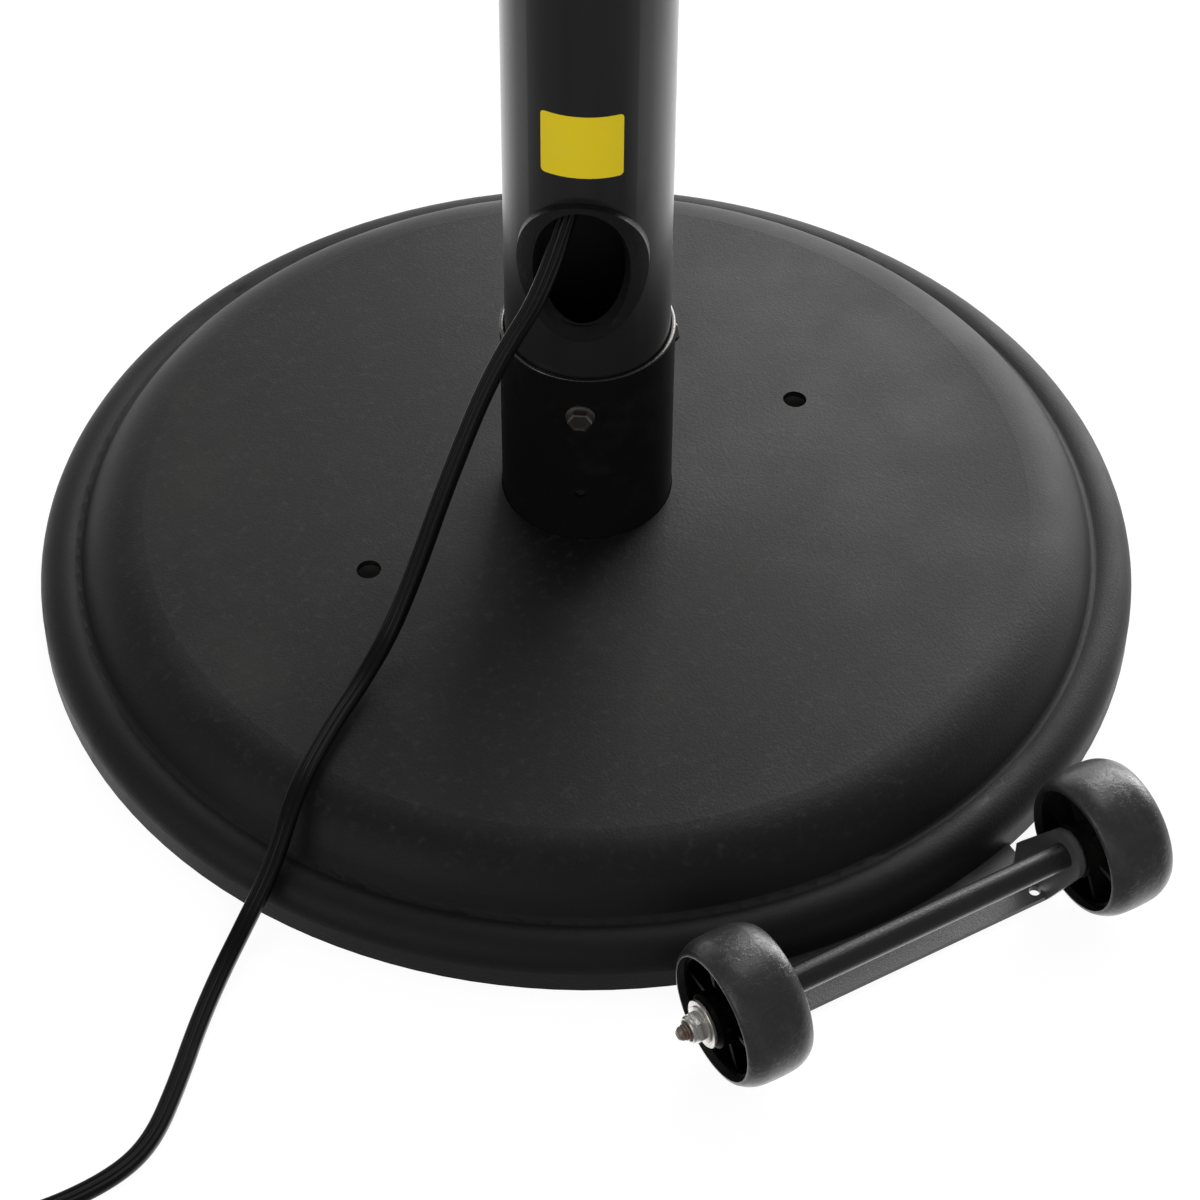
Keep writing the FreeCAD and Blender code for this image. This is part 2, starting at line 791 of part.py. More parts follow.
def add_pole():
    """Lower and upper pole tubes, the sleeve between them and its bolts."""
    for label, low, high in (
        ("lower_pole", flange_top, S.pole_seam_z),
        ("upper_pole", S.pole_seam_z, S.pole_top_z),
    ):
        body = turned(label, [(pole_bore_r, low), (pole_r, low), (pole_r, high), (pole_bore_r, high)])
        if label == "lower_pole":
            port = Outline(body, "YZ_Plane", "Port", pole_r + S.pole_wall)
            port.upright_ellipse(0, S.port_z, S.port_half_w, S.port_half_h)
            pocket(port, "CablePort", pole_r)
            drill = Outline(body, "YZ_Plane", "SocketDrill", pole_r + S.pole_wall)
            drill.circle(0, S.socket_bolt_z, S.socket_bolt_r + S.hole_gap)
            ring_of(body, [pocket(drill, "SocketBoltHole", pole_r)], S.socket_bolts)
        sign = -1 if label == "lower_pole" else 1
        seam = Outline(body, "YZ_Plane", "SeamDrill", pole_r + S.pole_wall)
        seam.circle(0, S.pole_seam_z + sign * S.coupler_bolt_reach, S.socket_bolt_r + S.hole_gap)
        ring_of(body, [pocket(seam, "SeamBoltHole", pole_r)], 2)
        place(body, turn=S.port_azimuth)
    coupler_r = pole_bore_r - S.coupler_gap
    low, high = S.pole_seam_z - S.coupler_len / 2, S.pole_seam_z + S.coupler_len / 2
    bore = coupler_r - S.coupler_wall
    body = turned("pole_coupler", [(bore, low), (coupler_r, low), (coupler_r, high), (bore, high)])
    for index, sign in enumerate((-1, 1)):
        drill = Outline(body, "YZ_Plane", f"Drill{index}", pole_r)
        drill.circle(0, S.pole_seam_z + sign * S.coupler_bolt_reach, S.socket_bolt_r + S.hole_gap)
        ring_of(body, [pocket(drill, f"BoltHole{index}", pole_r)], 2)
    place(body, turn=S.port_azimuth)
    heights = [S.pole_seam_z + sign * S.coupler_bolt_reach for sign in (-1, 1)]
    add_wall_bolts("coupler_bolts", pole_r, bore - S.coupler_wall, heights, as_size(2))
    nut_corner = S.socket_bolt_flats / root_of(as_size(3))
    nut_out = root_of(pole_bore_r * pole_bore_r - nut_corner * nut_corner) - S.grommet_gap
    nut_in = nut_out - S.socket_bolt_head
    stem_end = nut_in - S.socket_bolt_rim
    add_wall_bolts("socket_bolts", socket_r, stem_end, [S.socket_bolt_z], S.socket_bolts)
    nuts = new_body("socket_nuts")
    nut = Outline(nuts, "YZ_Plane", "Nut", nut_in)
    nut.hexagon(0, S.socket_bolt_z, S.socket_bolt_flats)
    nut.circle(0, S.socket_bolt_z, S.socket_bolt_r + S.thread_gap)
    ring_of(nuts, [pad(nut, "Hex", S.socket_bolt_head)], S.socket_bolts)
    place(nuts, turn=S.port_azimuth)


def extruded_ellipse(name, half_w, half_h, start, length):
    """A prism of upright elliptical section that runs along X."""
    ellipse = doc.addObject("Part::Ellipse", f"{name}Ellipse")
    bind(ellipse, "MajorRadius", half_h)
    bind(ellipse, "MinorRadius", half_w)
    turn = FreeCAD.Rotation(Vector(0, 0, 1), Vector(0, -1, 0), Vector(1, 0, 0), "ZXY")
    ellipse.Placement = FreeCAD.Placement(Vector(start.value, 0, S.port_z.value), turn)
    bind(ellipse, "Placement.Base.x", start)
    bind(ellipse, "Placement.Base.z", S.port_z)
    if length is None:
        return ellipse
    prism = doc.addObject("Part::Extrusion", f"{name}Prism")
    prism.Base = ellipse
    prism.DirMode = "Custom"
    prism.Dir = Vector(1, 0, 0)
    bind(prism, "LengthFwd", length)
    prism.Solid = True
    return prism


def combine(kind, name, base, tool):
    feature = doc.addObject(f"Part::{kind}", name)
    feature.Base = base
    feature.Tool = tool
    return feature


def tube_between(name, inner, outer):
    """A plain tube about the pole axis, as tall as the grommet."""
    walls = []
    for end, radius in (("Bore", inner), ("Skin", outer)):
        wall = doc.addObject("Part::Cylinder", f"{name}{end}")
        bind(wall, "Radius", radius)
        bind(wall, "Height", 2 * S.grommet_half_h + 2 * S.grommet_thick)
        bind(wall, "Placement.Base.z", S.port_z - S.grommet_half_h - S.grommet_thick)
        walls.append(wall)
    return combine("Cut", f"{name}Tube", walls[1], walls[0])


def add_cable_grommet():
    """The moulded bush of the cable port: a flange bent to the pole and a bevelled mouth."""
    seat_r = pole_r + S.grommet_gap / 2
    face_r = seat_r + S.grommet_thick
    flange = combine(
        "Common",
        "GrommetFlange",
        extruded_ellipse("Flange", S.grommet_half_w, S.grommet_half_h, as_size(0), face_r + S.weld_leg),
        tube_between("Flange", seat_r, face_r),
    )
    neck_w, neck_h = S.port_half_w - S.grommet_gap, S.port_half_h - S.grommet_gap
    neck = combine(
        "Common",
        "GrommetNeck",
        extruded_ellipse("Neck", neck_w, neck_h, as_size(0), face_r),
        tube_between("Neck", pole_r - S.grommet_neck, seat_r + S.grommet_thick / 2),
    )
    throat = extruded_ellipse("Throat", S.mouth_half_w, S.mouth_half_h, as_size(0), face_r + S.weld_leg)
    mouth_w, mouth_h = S.mouth_half_w + S.mouth_bevel, S.mouth_half_h + S.mouth_bevel
    bevel = doc.addObject("Part::Loft", "MouthBevel")
    bevel.Sections = [
        extruded_ellipse("Inner", S.mouth_half_w, S.mouth_half_h, face_r - 2 * S.mouth_bevel, None),
        extruded_ellipse("Outer", mouth_w, mouth_h, face_r, None),
    ]
    bevel.Solid = True
    ring = combine("Fuse", "GrommetRing", flange, neck)
    opened = combine("Cut", "GrommetOpened", ring, throat)
    grommet = combine("Cut", "cable_grommet", opened, bevel)
    grommet.Label = "cable_grommet"
    place(grommet, turn=S.port_azimuth)
    nodes["cable_grommet"] = grommet


def add_wheel_bracket():
    """The bent bracket: a plate under the ballast and an ear at each end for the axle."""
    body = new_body("wheel_bracket")
    low = S.plate_thick - S.bracket_thick
    plate = Outline(body, "XY_Plane", "Plate", low)
    plate.box(-S.bracket_half, bracket_back, S.bracket_half, bracket_front)
    pad(plate, "Strip", S.bracket_thick)
    ear = Outline(body, "YZ_Plane", "Ear", S.bracket_half)
    add_ear_outline(ear, low)
    side = pad(ear, "Ear", S.ear_thick, back=True)
    mirror_of(body, [side], "YZ_Plane")
    bore = Outline(body, "YZ_Plane", "AxleHole", S.bracket_half + S.ear_thick)
    bore.circle(axle_y, S.axle_z, S.axle_r + S.sleeve_gap)
    pocket(bore, "AxleHoles")
    holes = Outline(body, "XY_Plane", "Holes", S.plate_thick)
    screw_y = bracket_back + S.bracket_screw_in - S.bracket_gap
    for x in bracket_screw_places():
        holes.circle(x, screw_y, S.bracket_screw_r + S.hole_gap)
    relief_x = S.bracket_half - S.ear_thick - S.relief_r
    for x in (relief_x, -relief_x):
        holes.circle(x, bracket_front - 2 * S.relief_r, S.relief_r)
    pocket(holes, "PlateHoles")
    sinks = Outline(body, "XY_Plane", "Sinks", low + S.bracket_thick / 2)
    for x in bracket_screw_places():
        sinks.circle(x, screw_y, S.bracket_screw_head_r + S.hole_gap)
    pocket(sinks, "ScrewSinks", S.bracket_thick)


def add_ear_outline(outline, low):
    """A plate that narrows to a round end about the axle, with tangent sides."""
    sketch = outline.sketch
    heel_y = bracket_front - S.ear_foot
    centre = Vector(axle_y.value, S.axle_z.value, 0)
    foot_front = Vector(bracket_front.value, low.value, 0)
    foot_back = Vector(heel_y.value, low.value, 0)
    heel = Vector(heel_y.value, (low + S.ear_heel).value, 0)
    front = tangent_point(foot_front, centre, S.ear_round.value, 1)
    back = tangent_point(heel, centre, S.ear_round.value, -1)
    angles = [math.atan2(p.y - centre.y, p.x - centre.x) for p in (front, back)]
    arc = Part.ArcOfCircle(Part.Circle(centre, Z_AXIS, S.ear_round.value), *angles)
    sides = [
        Part.LineSegment(foot_back, foot_front),
        Part.LineSegment(foot_front, front),
        arc,
        Part.LineSegment(back, heel),
        Part.LineSegment(heel, foot_back),
    ]
    for side in sides:
        sketch.addGeometry(side)
    for first, second in ((0, 1), (3, 4), (4, 0)):
        sketch.addConstraint(Sketcher.Constraint("Coincident", first, 2, second, 1))
    sketch.addConstraint(Sketcher.Constraint("Tangent", 1, 2, 2, 1))
    sketch.addConstraint(Sketcher.Constraint("Tangent", 2, 2, 3, 1))
    outline.hold("Radius", (2,), S.ear_round)
    outline.pin(2, 3, axle_y, S.axle_z)
    outline.pin(0, 1, heel_y, low)
    outline.pin(0, 2, bracket_front, low)
    outline.pin(4, 1, heel_y, low + S.ear_heel)


def tangent_point(point, centre, radius, side):
    """Where a line from a point touches a circle, on one side of it."""
    to_point = point - centre
    middle = math.atan2(to_point.y, to_point.x)
    swing = math.acos(radius / to_point.Length)
    angle = middle + side * swing
    return centre + Vector(math.cos(angle), math.sin(angle), 0) * radius


def along_x(label, pieces):
    """A body of tubes or rods along X, each given as its two ends, bore and radius."""
    body = new_body(label)
    for index, (low, high, bore, radius) in enumerate(pieces):
        section = Outline(body, "YZ_Plane", f"Section{index}", low)
        section.circle(0, 0, radius)
        if bore is not None:
            section.circle(0, 0, bore)
        pad(section, f"Length{index}", high - low)
    return body


def add_axle():
    """Axle bolt, spacer sleeve, washers and lock nut."""
    inner_face = S.bracket_half - S.ear_thick
    inner_washer = (S.bracket_half, S.bracket_half + S.washer_thick)
    outer_start = hub_centre_x + S.wheel_width / 2 + S.hub_boss_out + S.wheel_gap
    outer_washer = (outer_start, outer_start + S.washer_thick)
    hole = S.axle_r + S.thread_gap
    bolt = along_x("axle_bolt", [(-outer_washer[1], S.axle_tip, None, S.axle_r)])
    head = Outline(bolt, "YZ_Plane", "Head", -outer_washer[1]).hexagon(0, 0, S.axle_nut_flats)
    pad(head, "HexHead", S.axle_head, back=True)
    sleeve = along_x("axle_sleeve", [(-inner_face, inner_face, S.axle_r + S.sleeve_gap, S.sleeve_r)])
    rings = []
    for low, high in (inner_washer, outer_washer):
        rings += [(low, high, hole, S.washer_r), (-high, -low, hole, S.washer_r)]
    washers = along_x("wheel_washers", rings)
    lock_nut = new_body("axle_nut")
    nut = Outline(lock_nut, "YZ_Plane", "Nut", outer_washer[1])
    nut.hexagon(0, 0, S.axle_nut_flats)
    nut.circle(0, 0, hole)
    pad(nut, "Hex", S.axle_nut_height)
    collar = Outline(lock_nut, "YZ_Plane", "Collar", outer_washer[1] + S.axle_nut_height)
    collar.circle(0, 0, S.axle_collar_r)
    collar.circle(0, 0, hole)
    pad(collar, "LockCollar", S.axle_collar)
    for body in (bolt, sleeve, washers, lock_nut):
        place(body, 0, axle_y, S.axle_z)
    screws = new_body("bracket_screws")
    low = S.plate_thick - S.bracket_thick + S.sink
    head_z = S.plate_thick - S.bracket_thick / 2
    for index, x in enumerate(bracket_screw_places()):
        y = bracket_back + S.bracket_screw_in - S.bracket_gap
        head = Outline(screws, "XY_Plane", f"Head{index}", low).circle(x, y, S.bracket_screw_head_r)
        pad(head, f"ScrewHead{index}", head_z - low)
        stem = Outline(screws, "XY_Plane", f"Stem{index}", low).circle(x, y, S.bracket_screw_r)
        pad(stem, f"ScrewStem{index}", S.bracket_screw_len)


def add_wheel(side, sign):
    """One wheel: a ribbed hub whose boss stands out on its outer side, and a crowned tyre."""
    half = S.wheel_width / 2
    rim_half = S.hub_rim_width / 2
    web_half = S.hub_web / 2
    rim_in = S.hub_r - S.hub_rim
    boss_end = half + S.hub_boss_out
    hub = turned(f"{side}_hub", [
        (sign * -half, axle_bore_r),
        (sign * boss_end, axle_bore_r),
        (sign * boss_end, S.hub_boss_r - S.hub_boss_bevel),
        (sign * (boss_end - S.hub_boss_bevel), S.hub_boss_r),
        (sign * web_half, S.hub_boss_r),
        (sign * web_half, rim_in),
        (sign * rim_half, rim_in),
        (sign * rim_half, S.hub_r),
        (sign * -rim_half, S.hub_r),
        (sign * -rim_half, rim_in),
        (sign * -web_half, rim_in),
        (sign * -web_half, S.hub_boss_r),
        (sign * -half, S.hub_boss_r),
    ], "H_Axis")
    rib = Outline(hub, "YZ_Plane", "Rib")
    overlap = S.hub_rim / 2
    rib.box(S.hub_boss_r - overlap, -S.rib_thick / 2, rim_in + overlap, S.rib_thick / 2)
    ring_of(hub, [pad(rib, "Rib", S.rib_width, both=True)], S.ribs, "X_Axis")
    bore = S.hub_r + S.tyre_gap
    shoulder = half - S.tyre_shoulder_in
    tyre = turned(f"{side}_tyre", [
        (-half, bore),
        (half, bore),
        (half, S.tyre_side_r),
        (shoulder, S.tyre_shoulder_r, S.tyre_shoulder_round),
        (S.tyre_crown_half, S.tyre_crown_r, S.tyre_flank_round),
        (-S.tyre_crown_half, S.tyre_crown_r, S.tyre_crown_round),
        (-shoulder, S.tyre_shoulder_r, S.tyre_flank_round),
        (-half, S.tyre_side_r, S.tyre_shoulder_round),
    ], "H_Axis")
    for body in (hub, tyre):
        place(body, sign * hub_centre_x, axle_y, S.axle_z)


def add_pole_head():
    """Pole cap, cable gland, tilt fork, pivot bolt and clamp knob."""
    plug_r = pole_bore_r - S.cap_gap
    plug_low = S.pole_top_z - S.cap_plug
    bore = plug_r - S.cap_plug_wall
    cap = turned("pole_cap", [
        (plug_r, plug_low),
        (plug_r, S.pole_top_z),
        (pole_r + S.cap_over, S.pole_top_z),
        (pole_r + S.cap_over, cap_top - S.cap_over),
        (pole_r, cap_top, S.cap_over),
        (0, cap_top),
        (0, S.pole_top_z),
        (bore, S.pole_top_z),
        (bore, plug_low),
    ])
    holes = Outline(cap, "XY_Plane", "Holes", cap_top)
    holes.circle(0, S.gland_y, S.cord_d / 2 + S.hole_gap)
    for x in (S.fork_bolt_x, -S.fork_bolt_x):
        holes.circle(x, 0, S.fork_bolt_r + S.thread_gap)
    pocket(holes, "CapHoles", S.cap_thick)
    gland = new_body("pole_gland")
    nut_height = S.gland_height / 3
    hexagon = Outline(gland, "XY_Plane", "Nut", cap_top).hexagon(0, S.gland_y, gland_flats)
    hexagon.circle(0, S.gland_y, S.cord_d / 2 + S.hole_gap)
    pad(hexagon, "GlandNut", nut_height)
    dome = Outline(gland, "XY_Plane", "Dome", cap_top).circle(0, S.gland_y, S.gland_r - S.weld_leg / 2)
    dome.circle(0, S.gland_y, S.cord_d / 2 + S.hole_gap)
    pad(dome, "GlandDome", S.gland_height)
    fork = new_body("tilt_fork")
    base = Outline(fork, "XY_Plane", "Base", cap_top)
    base.box(-S.fork_half, -S.fork_depth / 2, S.fork_half, S.fork_depth / 2)
    for x in (S.fork_bolt_x, -S.fork_bolt_x):
        base.circle(x, 0, S.fork_bolt_r + S.hole_gap)
    pad(base, "Base", S.fork_thick)
    half = S.fork_depth / 2
    ear = Outline(fork, "YZ_Plane", "Ear", S.fork_half)
    ear.loop([
        (-half, cap_top),
        (half, cap_top),
        (half, pivot_z),
        (0, pivot_z + half, half),
        (-half, pivot_z, half),
    ])
    ear.circle(0, pivot_z, S.pivot_r + S.sleeve_gap)
    mirror_of(fork, [pad(ear, "Ear", S.fork_thick, back=True)], "YZ_Plane")
    bolts = new_body("fork_bolts")
    seat = cap_top + S.fork_thick
    for index, x in enumerate((S.fork_bolt_x, -S.fork_bolt_x)):
        head = Outline(bolts, "XY_Plane", f"Head{index}", seat).hexagon(x, 0, 2 * S.fork_bolt_head_r)
        pad(head, f"BoltHead{index}", S.fork_bolt_head)
        stem = Outline(bolts, "XY_Plane", f"Stem{index}", seat).circle(x, 0, S.fork_bolt_r)
        pad(stem, f"BoltStem{index}", S.fork_thick + S.cap_thick, back=True)
    washer_end = S.fork_half + S.washer_thick
    knob_end = washer_end + S.wheel_gap + S.knob_len
    bolt = along_x("pivot_bolt", [
        (-(S.fork_half + S.pivot_head), -S.fork_half, None, S.pivot_head_r),
        (-S.fork_half, knob_end - S.thread_gap, None, S.pivot_r),
    ])
    washer = along_x("pivot_washer", [(S.fork_half, washer_end, S.pivot_r + S.thread_gap, S.washer_r)])
    knob = new_body("clamp_knob")
    knob_start = washer_end + S.wheel_gap
    core = Outline(knob, "YZ_Plane", "Core", knob_start).circle(0, 0, S.knob_r - S.knob_lobe_r)
    core.circle(0, 0, S.pivot_r + S.spin_gap)
    pad(core, "Hub", S.knob_len)
    lobe = Outline(knob, "YZ_Plane", "Lobe", knob_start + S.knob_len / 3)
    lobe.circle(0, S.knob_r - S.knob_lobe_r, S.knob_lobe_r)
    ring_of(knob, [pad(lobe, "Lobe", 2 * S.knob_len / 3)], S.knob_lobes, "X_Axis")
    for body in (bolt, washer, knob):
        place(body, 0, 0, pivot_z)


def housing_corners(offset, front, lip):
    """The rounded back of the head as corners from the upper lip to the lower lip."""
    back, low, high = -(S.head_back + offset), offset - S.head_low, head_top - offset
    round_r = S.head_round - offset
    turn_y = -(S.head_back + S.head_round)
    return [
        (front, high - lip),
        (front, high),
        (turn_y, high),
        (back, head_top - S.head_round, -round_r),
        (back, S.head_round - S.head_low),
        (turn_y, low, -round_r),
        (front, low),
        (front, low + lip),
    ]


def add_head_housing():
    """The folded head housing, its end caps and the end cap screws."""
    body = new_body("head_housing")
    wall = S.head_wall
    outside = housing_corners(as_size(0), head_front, S.head_lip)
    inside = housing_corners(wall, head_front + wall, S.head_lip - wall)
    section = Outline(body, "YZ_Plane", "Section")
    backwards = inside[::-1]
    corners = list(outside)
    for index, corner in enumerate(backwards):
        came_by = backwards[index - 1] if index else ()
        corners.append((*corner[:2], -came_by[2]) if len(came_by) == 3 else corner[:2])
    section.loop(corners)
    pad(section, "Trough", 2 * S.head_half, both=True)
    slot_start = -slot_pitch * (S.slots - 1) / 2
    slot_y = head_front + S.slot_in
    slot = Outline(body, "XY_Plane", "Slot", head_top + wall)
    slot.box(slot_start - S.slot_len / 2, slot_y, slot_start + S.slot_len / 2, slot_y + S.slot_width)
    row_of(body, [pocket(slot, "VentSlot", 3 * wall)], S.slots, slot_pitch)
    lug_drill = Outline(body, "XZ_Plane", "LugDrill", S.head_back - S.lug_thick)
    for x, z in lug_screw_places():
        lug_drill.circle(x, z, S.lug_screw_r + S.thread_gap)
    pocket(lug_drill, "LugScrewHoles", 2 * S.lug_thick, back=True)
    place(body, 0, 0, pivot_z)
    over = S.cap_end_over
    screws = new_body("end_cap_screws")
    features = []
    for index, (y, z) in enumerate(end_screw_places()):
        head = Outline(screws, "YZ_Plane", f"Head{index}", S.head_half + S.cap_end_thick)
        features.append(pad(head.circle(y, z, S.end_screw_head_r), f"ScrewHead{index}", S.end_screw_head))
    mirror_of(screws, features, "YZ_Plane")
    place(screws, 0, 0, pivot_z)
    for side, sign in (("left", -1), ("right", 1)):
        cap = new_body(f"{side}_end_cap")
        face = Outline(cap, "YZ_Plane", "Face", S.head_half if sign > 0 else -(S.head_half + S.cap_end_thick))
        rim = housing_corners(-over, head_front - over, as_size(0))
        face.loop(rim[1:7])
        pad(face, "Plate", S.cap_end_thick)
        place(cap, 0, 0, pivot_z)


def end_screw_places():
    """The end cap's four screws, in from the corners of the head."""
    inset = S.end_screw_in
    low, high = inset - S.head_low, head_top - inset
    return [
        (head_front + inset, low),
        (head_front + inset, high),
        (-(S.head_back + inset), low),
        (-(S.head_back + inset), high),
    ]


def lug_screw_places():
    """The lug's four screws, whose heads lie on the flat of the head's back."""
    low = S.head_round - S.head_low + S.lug_screw_head_r
    high = lug_low() + S.lug_height - S.lug_round
    return [(x, z) for x in (S.lug_screw_x, -S.lug_screw_x) for z in (low, high)]


def lug_low():
    return S.lug_thick - S.head_low + S.head_wall


def add_head_lug():
    """The channel on the head's back whose ears turn in the fork."""
    body = new_body("head_lug")
    half = S.fork_half - S.fork_thick - S.lug_gap
    back = S.head_back
    plate = Outline(body, "XZ_Plane", "Plate", back - S.lug_thick)
    plate.box(-half, lug_low(), half, lug_low() + S.lug_height)
    for x, z in lug_screw_places():
        plate.circle(x, z, S.lug_screw_r + S.hole_gap)
    pad(plate, "Plate", S.lug_thick)
    round_r = S.lug_round
    root = -(back - S.lug_thick)
    ear = Outline(body, "YZ_Plane", "Ear", half)
    ear.loop([
        (root - S.lug_thick, -round_r),
        (0, -round_r),
        (round_r, 0, round_r),
        (0, round_r, round_r),
        (root - S.lug_thick, round_r + S.lug_height / 4),
    ])
    ear.circle(0, 0, S.pivot_r + S.spin_gap)
    mirror_of(body, [pad(ear, "Ear", S.lug_thick, back=True)], "YZ_Plane")
    place(body, 0, 0, pivot_z)
    screws = new_body("lug_screws")
    seat = back - S.lug_thick
    for index, (x, z) in enumerate(lug_screw_places()):
        head = Outline(screws, "XZ_Plane", f"Head{index}", seat).circle(x, z, S.lug_screw_head_r)
        pad(head, f"ScrewHead{index}", S.lug_screw_head, back=True)
        stem = Outline(screws, "XZ_Plane", f"Stem{index}", seat).circle(x, z, S.lug_screw_r)
        pad(stem, f"ScrewStem{index}", S.lug_thick + 2 * S.head_wall)
    place(screws, 0, 0, pivot_z)


def add_reflector():
    """The polished trough behind the lamp, with its two end plates."""
    wall = S.reflector_wall
    seat = head_front + S.head_wall
    mouth = S.reflector_mouth
    centre_y = seat + root_of(S.reflector_r * S.reflector_r - mouth * mouth)
    outer = S.reflector_r + wall
    drop = centre_y - seat - wall
    mouth_out = root_of(outer * outer - drop * drop)
    lip = mouth + S.reflector_lip
    mid = head_mid_z
    body = new_body("reflector")
    section = Outline(body, "YZ_Plane", "Section")
    section.loop([
        (seat, mid + lip),
        (seat, mid + mouth),
        (centre_y + S.reflector_r, mid, -S.reflector_r),
        (seat, mid - mouth, -S.reflector_r),
        (seat, mid - lip),
        (seat + wall, mid - lip),
        (seat + wall, mid - mouth_out),
        (centre_y + outer, mid, outer),
        (seat + wall, mid + mouth_out, outer),
        (seat + wall, mid + lip),
    ])
    pad(section, "Trough", 2 * reflector_half, both=True)
    ends = new_body("reflector_ends")
    face = Outline(ends, "YZ_Plane", "Face", reflector_half)
    face.loop([
        (seat, mid - mouth),
        (centre_y + outer, mid, outer),
        (seat, mid + mouth, outer),
    ])
    face.circle(lamp_y, mid, S.lamp_r + S.lamp_gap)
    mirror_of(ends, [pad(face, "Plate", wall)], "YZ_Plane")
    for piece in (body, ends):
        place(piece, 0, 0, pivot_z)


def add_lamp():
    """Quartz tube, carbon ribbon and the two ceramic holders at its ends."""
    tip = reflector_half + S.reflector_wall + S.lamp_r
    tube = along_x("lamp_tube", [(-tip, tip, S.lamp_r - S.lamp_wall, S.lamp_r)])
    ribbon = new_body("carbon_ribbon")
    strip = Outline(ribbon, "YZ_Plane", "Strip")
    strip.box(-S.ribbon_thick / 2, -S.ribbon_width / 2, S.ribbon_thick / 2, S.ribbon_width / 2)
    pad(strip, "Ribbon", 2 * tip, both=True)
    holders = new_body("lamp_holders")
    start = reflector_half + S.reflector_wall
    block = Outline(holders, "YZ_Plane", "Block", start)
    block.box(-S.holder_depth / 2, -S.holder_height / 2, S.holder_depth / 2, S.holder_height / 2)
    block.circle(0, 0, S.lamp_r + S.tyre_gap)
    body_pad = pad(block, "Socket", tip - start)
    back = Outline(holders, "YZ_Plane", "Back", tip)
    back.box(-S.holder_depth / 2, -S.holder_height / 2, S.holder_depth / 2, S.holder_height / 2)
    back_pad = pad(back, "SocketBack", holder_outer - tip)
    mirror_of(holders, [body_pad, back_pad], "YZ_Plane")
    for body in (tube, ribbon, holders):
        place(body, 0, lamp_y, pivot_z + head_mid_z)


def add_front_guard():
    """The welded wire guard: two long rods with upright wires across them."""
    body = new_body("front_guard")
    body.AllowCompound = True
    rod_y = -(S.guard_rod_r + S.guard_gap)
    long_half = guard_pitch * (S.guard_wires - 1) / 2 + 2 * S.guard_rod_r
    for index, z in enumerate((S.guard_rise, -S.guard_rise)):
        rod = Outline(body, "YZ_Plane", f"Rod{index}").circle(rod_y, z, S.guard_rod_r)
        pad(rod, f"LongRod{index}", 2 * long_half, both=True)
    first = -guard_pitch * (S.guard_wires - 1) / 2
    wire_y = rod_y - S.guard_rod_r - S.guard_wire_r - S.guard_gap / 2
    wire = Outline(body, "XY_Plane", "Wire").circle(first, wire_y, S.guard_wire_r)
    upright = pad(wire, "Upright", 2 * (S.guard_rise + S.guard_rod_r + S.guard_wire_r), both=True)
    row_of(body, [upright], S.guard_wires, guard_pitch)
    place(body, 0, head_front, pivot_z + head_mid_z)


